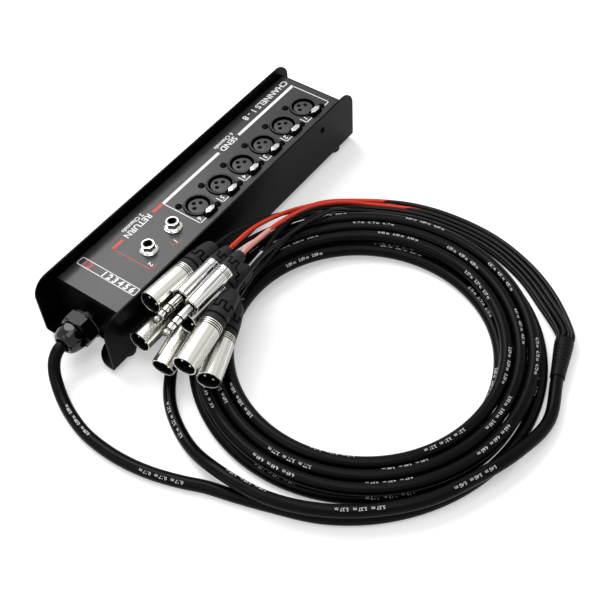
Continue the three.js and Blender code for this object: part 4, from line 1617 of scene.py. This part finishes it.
@dataclass(frozen=True)
class TopPanel:
    """The folded tray between the walls, with its holes.

    Attributes:
        sheet, bend: the steel's thickness, and the folds' radius, seen from outside.
        back: where its end plate stands, away from the gland.
        half: half of its width.
        slack: how much narrower the end plates are, on each side.
        flange: how far its side flanges go down.
        foot: height of the end plates' lower edges.
        bore: the gland's hole.
    """

    sheet: float = 1.5
    bend: float = 2.0
    back: float = 148.5
    half: float = 33.7
    slack: float = 0.2
    flange: float = 14.0
    foot: float = 6.8
    bore: Turned = Turned(((0, -4), (8, -4), (8, 4), (0, 4)))

    def fold(self, low: float, high: float, foot: float) -> Array:
        """A cross-section: a flat top with a bent flange at each end.

        Args:
            low, high: where the flanges' outer faces are.
            foot: height of the flanges' lower edges.

        Returns:
            Points (across, height) along the outer face and back along the inner face.
        """
        lines = []
        for inset in (0, self.sheet):
            a, b, top = low + inset, high - inset, PANEL_TOP - inset
            lines.append(eased([(a, foot), (a, top), (b, top), (b, foot)], self.bend - inset, 5))
        return np.vstack([lines[0], lines[1][::-1]])

    def prism(self, section: Array, start: float, end: float, axis: int) -> Shell:
        """A cross-section given length, its end faces left as single polygons.

        Args:
            section: its points (across, height).
            start, end: where it starts and ends along the axis.
            axis: 0 for X, or 1 for Y.

        Returns:
            The surface, faces outward.
        """
        count = len(section)
        points = np.vstack([np.insert(section, axis, level, axis=1) for level in (start, end)])
        grid = ring_indices(2, count)
        corners = np.concatenate([quads_of(grid), grid[0, -2::-1], grid[1, :-1]])
        return Shell(points, corners, np.array([*[4] * count, count, count])).outward()

    def build(self, holes: Sequence[Shell]) -> None:
        """Makes the panel: the tray along X, and an end plate bent down at each end.

        Args:
            holes: what the sockets cut out of the tray.
        """
        across = self.fold(-self.half, self.half, PANEL_TOP - self.flange)
        tray = self.prism(across, PANEL_FRONT + self.bend, self.back - self.bend, 0)
        add_piece("panel_tray", carved(tray, holes), SATIN_GREY, ["top_panel"], sharp=40)
        along = self.fold(PANEL_FRONT, self.back, self.foot)
        quarter, width = len(along) // 4, self.half - self.slack
        parts = np.vstack([along[:quarter], along[-quarter:]]), along[quarter:-quarter]
        front, back = (self.prism(part, -width, width, 1) for part in parts)
        bore = self.bore.shell().moved(shift(PANEL_FRONT, 0, GLAND_HEIGHT) @ turn("Y", 90))
        # The end plates take a darker copy of the panel's paint, as painted shade.
        add_piece("panel_ends", joined(carved(front, [bore]), back), SHADED_PANEL_PAINT, sharp=40)


FOOT_PROFILE = ((0, 2.2), (3.4, 2.2), (3.4, 0), (5.6, 0), (6.5, 0.9), (6.5, 4.7), (0, 4.7))


@dataclass(frozen=True)
class Foot:
    """A rubber foot with its screw sunk in the underside.

    Attributes:
        pad: the foot's form.
        seat: how high the screw sits.
        ends: where the feet of each end are along X.
        across: how far they are from the middle.
    """

    pad: Turned = Turned(FOOT_PROFILE, (0, 0.2, 0.4, 0.4, 0.5, 0.2, 0), sides=40)
    seat: float = 2.2
    ends: tuple[tuple[str, float], ...] = (("front", -133.5), ("back", 134.5))
    across: float = 27.7

    def build(self, screw: Shell) -> None:
        """Makes the four feet and their screws."""
        pad = self.pad.shell()
        for end, x in self.ends:
            for side, y in (("near", -self.across), ("far", self.across)):
                node = f"foot_{end}_{side}"
                add_piece(f"rubber_{node}", pad, FOOT_RUBBER, [node], shift(x, y, 0))
                place = shift(x, y, self.seat) @ turn("X", 180)
                add_piece(f"screw_{node}", screw, BLACK_SCREW, place=place)


SIX_PROFILE = ((5.1, 9), (13.4, 9), (15.1, 10.2), (15.1, 18.2), (13.2, 19.5), (5.1, 19.5))
CAP_PROFILE = (
    (9.3, 19.8), (11.3, 19.8), (12.3, 21.3), (12.1, 23.4), (11.3, 26.5), (10.4, 29.5),
    (9.2, 31.8), (7.6, 33), (6.4, 33), (5.1, 27.5), (5.1, 25.3), (9.3, 25.3),
)
BACK_NUT_PROFILE = ((7.9, -6.8), (11.6, -6.8), (12.7, -6), (12.7, -1.8), (7.9, -1.8))


@dataclass(frozen=True)
class Gland:
    """The cable gland, drawn along +Z from the end plate and laid along -X.

    Attributes:
        stem: thread and base, big hexagon with its edges turned off, and neck.
        flange: the round flange behind the hexagon, which looks out over its flats.
        cap: the clamping nut, a dome on a bulge with eight lens-shaped flats cut into it.
        back_nut: the hexagonal locknut inside the end plate.
    """

    stem: tuple[Turned, ...] = (
        Turned(((5.1, -8), (7.6, -8), (7.6, 0.3), (9.2, 0.3), (9.2, 7.6), (5.1, 7.6)), 0.3, 2, 64),
        Turned(SIX_PROFILE, 0.3, 2, 96, flats=(6, 13)),
        Turned(((5.1, 9), (9, 9), (9, 24.6), (8.6, 25), (5.1, 25)), sides=64),
    )
    flange: Turned = Turned(((9.3, 7.4), (13.4, 7.4), (14.1, 8), (13.5, 8.8), (9.3, 8.8)), 0.2, 3, 96)
    cap: Turned = Turned(CAP_PROFILE, 0.5, 3, 160, 0.3, (8, 11.4))
    back_nut: Turned = Turned(BACK_NUT_PROFILE, sides=96, flats=(6, 11))

    def build(self) -> None:
        """Makes the gland's pieces."""
        place = shift(PANEL_FRONT, 0, GLAND_HEIGHT) @ turn("Y", -90)
        for name, forms, finish, nodes in (
            ("gland_stem", self.stem, GLAND_NYLON, ["gland_body"]),
            ("gland_flange", [self.flange], GLAND_GLOSS, []),
            ("gland_cap", [self.cap], GLAND_GLOSS, ["gland_nut"]),
            ("gland_back_nut", [self.back_nut], GLAND_NYLON, ["gland_locknut"]),
        ):
            add_piece(name, joined(*(form.shell() for form in forms)), finish, nodes, place)


BARREL_PROFILE = (
    (8, -20), (11.8, -20), (11.8, 0.9), (11.2, 1.5), (10.2, 1.5), (9.65, 0.9),
    (9.65, -18.8), (8, -18.8),
)
INSERT_PROFILE = ((0, -18.5), (9.3, -18.5), (9.3, -15.2), (8.1, -15.2), (8.1, -0.4), (0, -0.4))


@dataclass(frozen=True)
class SendSocket:
    """Latching three-pole socket, drawn with z = 0 on the panel's top face.

    Attributes:
        first, pitch, line, count: the row of sockets along X, the first at the back.
        panel_cuts: the panel's round hole and its cut-out for the hood, with z = 0 on the floor.
        barrel, core: the ring, and its bore through the hood and the rear flange.
        hood, flange: what stands outside the ring, and the flange under the panel.
        cuts: the push tab's pocket, the stem's slot and the hook's window.
        insert, contact, cup: the moulded insert, and the hole and cup of a contact.
        contacts, screws: where they are.
        tab, tab_ease: half of the push tab's outline, and how far its corners are rounded.
        tab_place, tab_levels: its middle's y, and its lower and upper face and their rounding.
        stem, hook: the latch's other parts.
        rim: inner and outer radius, and lower and upper height, of the flat rim's painted highlight.
    """

    first: float = 122.8
    pitch: float = 28.0
    line: float = -7.1
    count: int = 6
    panel_cuts: tuple[Turned | Block, ...] = (
        Turned(((0, 40), (12.1, 40), (12.1, 50), (0, 50)), sides=96),
        Block((-6.3, -16, 41), (6.3, -9.3, 49), 1.2),
    )
    barrel: Turned = Turned(BARREL_PROFILE, 0.25, 2, 96)
    core: Turned = Turned(((0, -20.5), (9.65, -20.5), (9.65, 5), (0, 5)), sides=96)
    hood: Block = Block((-6, -15.7, -13), (6, -9.3, 2.2), 1.6, 0.5)
    flange: Block = Block((-13, -15.5, -3.8), (13, 15.5, -1.8), 3)
    cuts: tuple[Block, ...] = (
        Block((-5.35, -15.2, -0.6), (5.35, -10.2, 4), 1.2),
        Block((-3.3, -13.5, -12.2), (3.3, -11.7, 2.2)),
        Block((-3.3, -13.5, -10.2), (3.3, -8.5, -5.5)),
    )
    insert: Turned = Turned(INSERT_PROFILE, (0, 0.2, 0.2, 0.2, 0.4, 0), sides=64)
    contact: Turned = Turned(((0, -12.8), (1.8, -12.8), (1.8, 0), (0, 0)), sides=24)
    cup: Turned = Turned(((0, -23), (1.2, -23), (1.2, -15.2), (0, -15.2)), sides=16)
    contacts: tuple[Pair, ...] = ((-3.8, 0.6), (3.8, 0.6), (0, 4.6))
    screws: tuple[Pair, ...] = ((-9.5, 12), (9.5, -12))
    tab: tuple[Pair, ...] = ((-5.3, -0.2), (-2.7, -2.3), (2.7, -2.3), (5.3, -0.2))
    tab_ease: float = 0.5
    tab_place: float = -12.7
    tab_levels: Point = (1.6, 4.2, 0.6)
    stem: Block = Block((-3, -13.2, -10), (3, -12, 2))
    hook: Block = Block((-3, -13.1, -8), (3, -8.9, -6))
    rim: tuple[float, float, float, float] = (10, 11.4, 1.3, 1.6)

    def places(self) -> list[Pair]:
        """The sockets' middles, the first at the back."""
        return [(self.first - i * self.pitch, self.line) for i in range(self.count)]

    def holes(self) -> list[Shell]:
        """The panel's round holes and the cut-outs for the hoods."""
        cuts = [cut.shell() for cut in self.panel_cuts]
        return [cut.moved(shift(x, y, 0)) for x, y in self.places() for cut in cuts]

    def shell(self) -> Shell:
        """Ring, rear flange and the hood with its pocket, slot and window.

        Returns:
            Their surface.
        """
        cuts = [cut.shell() for cut in self.cuts]
        through_all = [self.core.shell(), *cuts]
        outside = [carved(part.shell(), through_all) for part in (self.hood, self.flange)]
        return joined(carved(self.barrel.shell(), cuts), *outside)

    def body(self) -> Shell:
        """The moulded insert with its three contact holes, and the cups behind it.

        Returns:
            Its surface.
        """
        hole, cup = self.contact.shell(), self.cup.shell()
        spots = [shift(x, y, 0) for x, y in self.contacts]
        body = carved(self.insert.shell(), [hole.moved(spot) for spot in spots])
        return joined(body, *(cup.moved(spot) for spot in spots))

    def latch(self) -> Shell:
        """The push tab, long with pointed ends, and its stem with the hook.

        Returns:
            Their surface.
        """
        outline = [*self.tab, *((-x, -y) for x, y in self.tab)]
        line = eased(outline, self.tab_ease, 3, closed=True) + (0, self.tab_place)
        return joined(slab(line, soft_levels(*self.tab_levels)), self.stem.shell(), self.hook.shell())

    def sunk(self, shell: Shell) -> Array:
        """0 on the ring's flat rim, whose grey is a painted highlight, and 1 elsewhere.

        Args:
            shell: the socket's surface.

        Returns:
            A number for each point.
        """
        x, y, z = shell.points.T
        inner, outer, low, high = self.rim
        away = np.hypot(x, y)
        return 1.0 - ((away > inner) & (away < outer) & (z > low) & (z < high))

    def build(self, screw: Shell) -> None:
        """Makes the six sockets with their latches and screws.

        Args:
            screw: the surface of one screw.
        """
        shell, insert, latch = self.shell(), self.body(), self.latch()
        screws = joined(*(screw.moved(shift(x, y, 0)) for x, y in self.screws))
        # The flat rim keeps its grey as a painted highlight; the rest of the shell goes near black.
        sunk = self.sunk(shell)
        for i, (x, y) in enumerate(self.places(), 1):
            spot, name, node = shift(x, y, PANEL_TOP), f"send_{i}", f"xlr_socket_{i}"
            add_piece(f"{name}_shell", shell, DIE_CAST_BLACK, [f"{node}_shell"], spot, sunk=sunk)
            add_piece(f"{name}_insert", insert, INSERT_GREY, [f"{node}_insert"], spot)
            body, nodes = f"socket_{i}_latch_body", [f"{node}_latch"]
            add_piece(f"{name}_latch", latch, BRIGHT_NICKEL, nodes, spot, body=body)
            add_piece(f"{name}_screws", screws, BLACK_SCREW, place=spot)


WASHER_PROFILE = ((4.2, 0.3), (7.2, 0.3), (7.2, 1.2), (6.7, 1.3), (6.7, 2), (5.6, 2.6), (4.2, 2.6))
NUT_PROFILE = ((4.2, 2.3), (5.6, 2.3), (5.6, 6.4), (4.9, 7.1), (4.2, 7.1))


@dataclass(frozen=True)
class ReturnJack:
    """Jack socket with its threaded bushing, washer and hex nut.

    Attributes:
        places, line: where the two sockets stand.
        hole: the panel's round hole, with z = 0 on the floor.
        box, bore: the moulded body under the panel, and its hollow for the plug's finger.
        root, mouth: the bushing's profile under and over its thread.
        thread: the first ring's radius and height, the rings' depth, distance and number.
        shade_liner: a black sleeve inside the bushing, a dark sheet as painted shade deep in the
            bore.
        nut: washer and flanged hex nut.
    """

    places: Pair = (-46.1, -74.3)
    line: float = -6.2
    hole: Turned = Turned(((0, 40), (5, 40), (5, 50), (0, 50)))
    box: Block = Block((-8, -8, -22), (8, 8, -1.8), 1, 0.4)
    bore: Turned = Turned(((0, -20.5), (3.3, -20.5), (3.3, 1), (0, 1)), sides=32)
    root: tuple[Pair, ...] = ((3.3, -3), (4.1, -3))
    thread: tuple[float, float, float, float, int] = (4.1, 5.2, 0.15, 0.4, 5)
    mouth: tuple[Pair, ...] = ((4, 7.5), (3.8, 7.6), (3.6, 7.5), (3.35, 7))
    shade_liner: Turned = Turned(((3, -2), (3.28, -2), (3.28, 6.9), (3, 6.9)), sides=40)
    nut: tuple[Turned, ...] = (
        Turned(WASHER_PROFILE, 0.15, 2, 64),
        Turned(NUT_PROFILE, 0.1, 2, 96, flats=(6, 4.9, math.pi / 6)),
    )

    def holes(self) -> list[Shell]:
        """The panel's two round holes."""
        return [self.hole.shell().moved(shift(x, self.line, 0)) for x in self.places]

    def bushing(self) -> Shell:
        """The bushing: a shallow thread of rings outside and a flared mouth.

        Returns:
            Its surface.
        """
        radius, low, depth, pitch, count = self.thread
        rings = [(radius - depth * (i % 2), low + pitch * i) for i in range(count)]
        return Turned([*self.root, *rings, *self.mouth]).shell()

    def build(self) -> None:
        """Makes the two jack sockets."""
        body = carved(self.box.shell(), [self.bore.shell()])
        nut = joined(*(part.shell() for part in self.nut))
        bushing, shade_liner = self.bushing(), self.shade_liner.shell()
        for i, x in enumerate(self.places, 1):
            name, spot = f"return_{i}", shift(x, self.line, PANEL_TOP)
            add_piece(f"{name}_body", body, INSERT_GREY, [f"jack_{i}"], spot)
            add_piece(f"{name}_bushing", bushing, BRIGHT_NICKEL, place=spot)
            # A black sleeve in the bore, as painted shade.
            add_piece(f"{name}_liner", shade_liner, DARK_INSERT, place=spot)
            add_piece(f"{name}_nut", nut, BRIGHT_NICKEL, [f"jack_{i}_nut"], spot)


# The print on the panel


@dataclass(frozen=True)
class Print:
    """One ink of the screen print, a thin layer that reads along -X, letter tops toward -Y.

    Attributes:
        name: the piece's name.
        finish: its finish.
        bars: (low x, high x, low y, high y) of its filled bars.
        lines: the stops of its thin lines, each stretch along X or Y.
        thin: their width.
        words: what they say, their height, their middle's x and y, and their slant.
        numbers: wide bold numbers in the frame at the gland end, read along -Y, and their y.
        number_height, number_style: their height, and their slant, spread and boldness.
        framed: middle y, width and length of that frame's own line, or nothing.
        frame_corners: radius of the frame's outer and inner corners.
        frame_place: x of the frame's middle.
        ink: how far the ink goes to each side of the panel's face.
    """

    name: str
    finish: Finish
    bars: tuple[tuple[float, float, float, float], ...]
    lines: tuple[tuple[Pair, ...], ...]
    thin: float
    words: tuple[tuple[str, float, float, float, float], ...]
    numbers: tuple[str, float]
    number_height: float = 5.2
    number_style: Point = (0.1, 1.5, 0.055)
    framed: tuple[float, ...] = ()
    frame_corners: Pair = (1.6, 1.0)
    frame_place: float = -111.3
    ink: float = 0.06

    def bar(self, x0: float, x1: float, y0: float, y1: float) -> Shell:
        """A filled rectangle of ink."""
        return Block((x0, y0, PANEL_TOP - self.ink), (x1, y1, PANEL_TOP + self.ink)).shell()

    def line(self, stops: Sequence[Pair]) -> list[Shell]:
        """A thin line.

        Args:
            stops: where it starts, turns and ends.

        Returns:
            A bar for each stretch.
        """
        ends = np.array(list(zip(stops, stops[1:])))
        low, high = ends.min(1) - self.thin / 2, ends.max(1) + self.thin / 2
        return [self.bar(a[0], b[0], a[1], b[1]) for a, b in zip(low, high)]

    def frame_line(self, y: float, width: float, length: float) -> Shell:
        """A thin frame with round corners.

        Args:
            y: its middle's y.
            width, length: its outer size along X and along Y.

        Returns:
            Its surface.
        """
        outlines = []
        for inset, corner in zip((0, 0.8 * self.thin), self.frame_corners):
            half, long, x = width / 2 - inset, length / 2 - inset, self.frame_place
            outlines.append(rectangle(x - half, x + half, y - long, y + long, corner))
        (outer, inner), low, high = outlines, PANEL_TOP - self.ink, PANEL_TOP + self.ink
        levels = ((outer, low), (outer, high), (inner, high), (inner, low))
        return skin(np.stack([np.insert(line, 2, z, axis=1) for line, z in levels]))

    def build(self) -> None:
        """Makes the ink as one piece."""
        parts = [self.bar(*bar) for bar in self.bars]
        parts += [part for stops in self.lines for part in self.line(stops)]
        for text, height, x, y, slant in self.words:
            flat = lettering(text, height, self.ink, slant)
            parts.append(flat.moved(shift(x, y, PANEL_TOP) @ turn("Z", 180)))
        text, y = self.numbers
        flat = lettering(text, self.number_height, self.ink, *self.number_style)
        parts.append(flat.moved(shift(self.frame_place, y, PANEL_TOP) @ turn("Z", -90)))
        if self.framed:
            parts.append(self.frame_line(*self.framed))
        add_piece(self.name, joined(*parts), self.finish)


CHANNELS = tuple(108.9 - 28 * i for i in range(6))
WHITE_PRINT = Print(
    "print_white",
    INK_WHITE,
    bars=((64.9, 140.9, 15.9, 18.7), (-31.0, 38.9, 15.9, 18.7)),
    lines=(
        ((133.4, -21.1), (140.4, -21.1), (140.4, 17)),
        ((-24.5, -20.9), (-31.0, -20.9), (-31.0, 17)),
        *(((x + 6.6, -21.1), (x, -21.1), (x, -14.2)) for x in CHANNELS[:-1]),
    ),
    thin=0.8,
    words=(
        ("SEND", 5.4, 51.8, 17.3, 0),
        ("6 Channels", 3.6, 52.3, 23, 0),
        ("RETURN", 5.4, -60.2, 17.7, 0),
        ("2 Channels", 3.6, -60.2, 23.3, 0),
        ("CHANNELS 1 - 8", 5.7, 112.3, 25.3, 0),
        *((str(i), 4.2, x + 3.6, -17.3, 0.2) for i, x in enumerate(CHANNELS, 1)),
        ("1", 4.2, -56.1, -16.9, 0.2),
        ("2", 4.2, -84.5, -16.9, 0.2),
    ),
    numbers=("123456", -8.6),
    framed=(2.0, 7.8, 58.4),
)
RED_PRINT = Print(
    "print_red",
    INK_RED,
    bars=((-42.5, -32.0, 16.3, 19.1), (-89.3, -77.9, 16.3, 19.1)),
    lines=(
        ((-81.5, -20.5), (-88.9, -20.5), (-88.9, 17)),
        ((-52.5, -20.1), (-59.9, -20.1), (-59.9, -14.2)),
    ),
    thin=0.6,
    words=(),
    numbers=("12", 22.4),
)


# The studio


@dataclass(frozen=True)
class Lamp:
    """A soft box lamp that looks at a point of the scene.

    Attributes:
        name: its name.
        place, aim: where it is and what it looks at, in metres.
        size: the side of its square face, in metres.
        power: its power in watts.
        overhead: how upright it looks, from 0 to 1, where its side follows +Y and not +Z.
    """

    name: str
    place: Point
    size: float
    power: float
    aim: Point = (-0.03, -0.13, 0.0)
    overhead: float = 0.95

    def build(self) -> None:
        """Makes the lamp."""
        light = bpy.data.lights.new(self.name, "AREA")
        light.shape = "RECTANGLE"
        light.size, light.size_y, light.energy = self.size, self.size, self.power
        back = unit(np.subtract(self.place, self.aim))
        top = (0, 1, 0) if abs(back[2]) > self.overhead else (0, 0, 1)
        right = unit(np.cross(top, back))
        matrix = axes(right, np.cross(back, right), back, self.place)
        placed(self.name, light).matrix_world = Matrix(matrix.tolist())


@dataclass(frozen=True)
class Studio:
    """The camera at the photograph's place, lamps, a white floor and a white surround.

    Attributes:
        eye: where the camera is, in metres.
        right, down, forward: its directions.
        lens: its focal length on a sensor 36 mm wide.
        floor_half: half of the floor's side, in metres.
        floor_colour: how light the floor is.
        floor_lift: how much it shines by itself where it is looked at.
        ambient: the surround's light.
        lamps: the lamps.
    """

    eye: Point = (-0.426795, -0.438559, 0.633338)
    right: Point = (0.589079, -0.806765, -0.045998)
    down: Point = (-0.639792, -0.430875, -0.636406)
    forward: Point = (0.493611, 0.404323, -0.769981)
    lens: float = 63.51
    floor_half: float = 1.15
    floor_colour: float = 0.8
    floor_lift: float = 0.4
    ambient: float = 0.3
    lamps: tuple[Lamp, ...] = (
        Lamp("key", (0.3, 0.85, 1.45), 1.1, 24.0),
        Lamp("left", (-1.3, 0.3, 1.0), 1.0, 5.0),
        Lamp("above", (-0.2, -0.3, 1.9), 1.0, 10.0),
    )

    def camera(self) -> None:
        """Puts the camera in place."""
        camera = bpy.data.cameras.new("camera")
        camera.lens = self.lens
        camera.sensor_width = 36.0
        holder = placed("camera", camera)
        matrix = axes(self.right, np.negative(self.down), np.negative(self.forward), self.eye)
        holder.matrix_world = Matrix(matrix.tolist())
        bpy.context.scene.camera = holder

    @staticmethod
    def seen(
        tree: bpy.types.NodeTree, other: bpy.types.Node, shown: bpy.types.Node
    ) -> bpy.types.Node:
        """Shows one shader to camera, glossy and transmitted rays, and another to the others.

        Args:
            tree: the node tree.
            other: the shader for the others.
            shown: the shader that those rays see.

        Returns:
            The node that mixes them.
        """
        rays = add_node(tree, "LightPath")
        total = rays.outputs["Is Camera Ray"]
        for name in ("Is Glossy Ray", "Is Transmission Ray"):
            most = add_node(tree, "Math")
            most.operation = "MAXIMUM"
            total = feed(most, {0: total, 1: rays.outputs[name]})
        return feed(add_node(tree, "MixShader"), {0: total, 1: other, 2: shown})

    def floor(self) -> None:
        """A plain floor whose lift shows only to the eye and in gloss, so that shadows stay."""
        mesh = bpy.data.meshes.new("floor")
        half = self.floor_half
        corners = [(-half, -half, 0), (half, -half, 0), (half, half, 0), (-half, half, 0)]
        mesh.from_pydata(corners, [], [(0, 1, 2, 3)])
        floor = placed("floor", mesh)
        material = bpy.data.materials.new("floor white")
        material.use_nodes = True
        tree = material.node_tree
        tree.nodes.remove(tree.nodes["Principled BSDF"])
        matte = add_node(tree, "BsdfDiffuse", Color=(*[self.floor_colour] * 3, 1))
        none = add_node(tree, "Emission", Strength=0.0)
        lift = add_node(tree, "Emission", Strength=self.floor_lift)
        total = feed(add_node(tree, "AddShader"), {0: matte, 1: self.seen(tree, none, lift)})
        feed(tree.nodes["Material Output"], {"Surface": total})
        mesh.materials.append(material)

    def surround(self) -> None:
        """A dim surround for the light, white where the camera sees it."""
        world = bpy.data.worlds.new("surround")
        world.use_nodes = True
        tree = world.node_tree
        white = (1, 1, 1, 1)
        dim = feed(tree.nodes["Background"], {"Color": white, "Strength": self.ambient})
        bright = add_node(tree, "Background", Color=white, Strength=1.0)
        feed(tree.nodes["World Output"], {"Surface": self.seen(tree, dim, bright)})
        bpy.context.scene.world = world

    def build(self) -> None:
        """Sets the whole studio up."""
        self.camera()
        self.floor()
        self.surround()
        for lamp in self.lamps:
            lamp.build()
        bpy.context.scene.view_settings.view_transform = "Standard"


def build_cables() -> None:
    """Makes the trunk, the breakout, the tails and the plugs at their ends."""
    trunk = TrunkCable()
    breakout = Breakout(trunk)
    trunk.build(breakout.build())
    LengthMarks(trunk).build()
    for plug, tails in ((PolePlug(), POLE_TAILS), (JackPlug(), JACK_TAILS)):
        for tail in tails:
            tail.build(trunk, breakout, plug)


def main() -> None:
    """Builds the whole scene."""
    logging.basicConfig(level=logging.INFO, format="%(name)s: %(message)s")
    Studio().build()
    build_cables()
    screw = Screw().shell()
    sockets, jacks = SendSocket(), ReturnJack()
    Chassis().build()
    WallScrews().build(screw)
    TopPanel().build([*sockets.holes(), *jacks.holes()])
    Foot().build(Screw(2.6, 1.2).shell())
    Gland().build()
    sockets.build(screw)
    jacks.build()
    WHITE_PRINT.build()
    RED_PRINT.build()


if __name__ == "__main__":
    main()
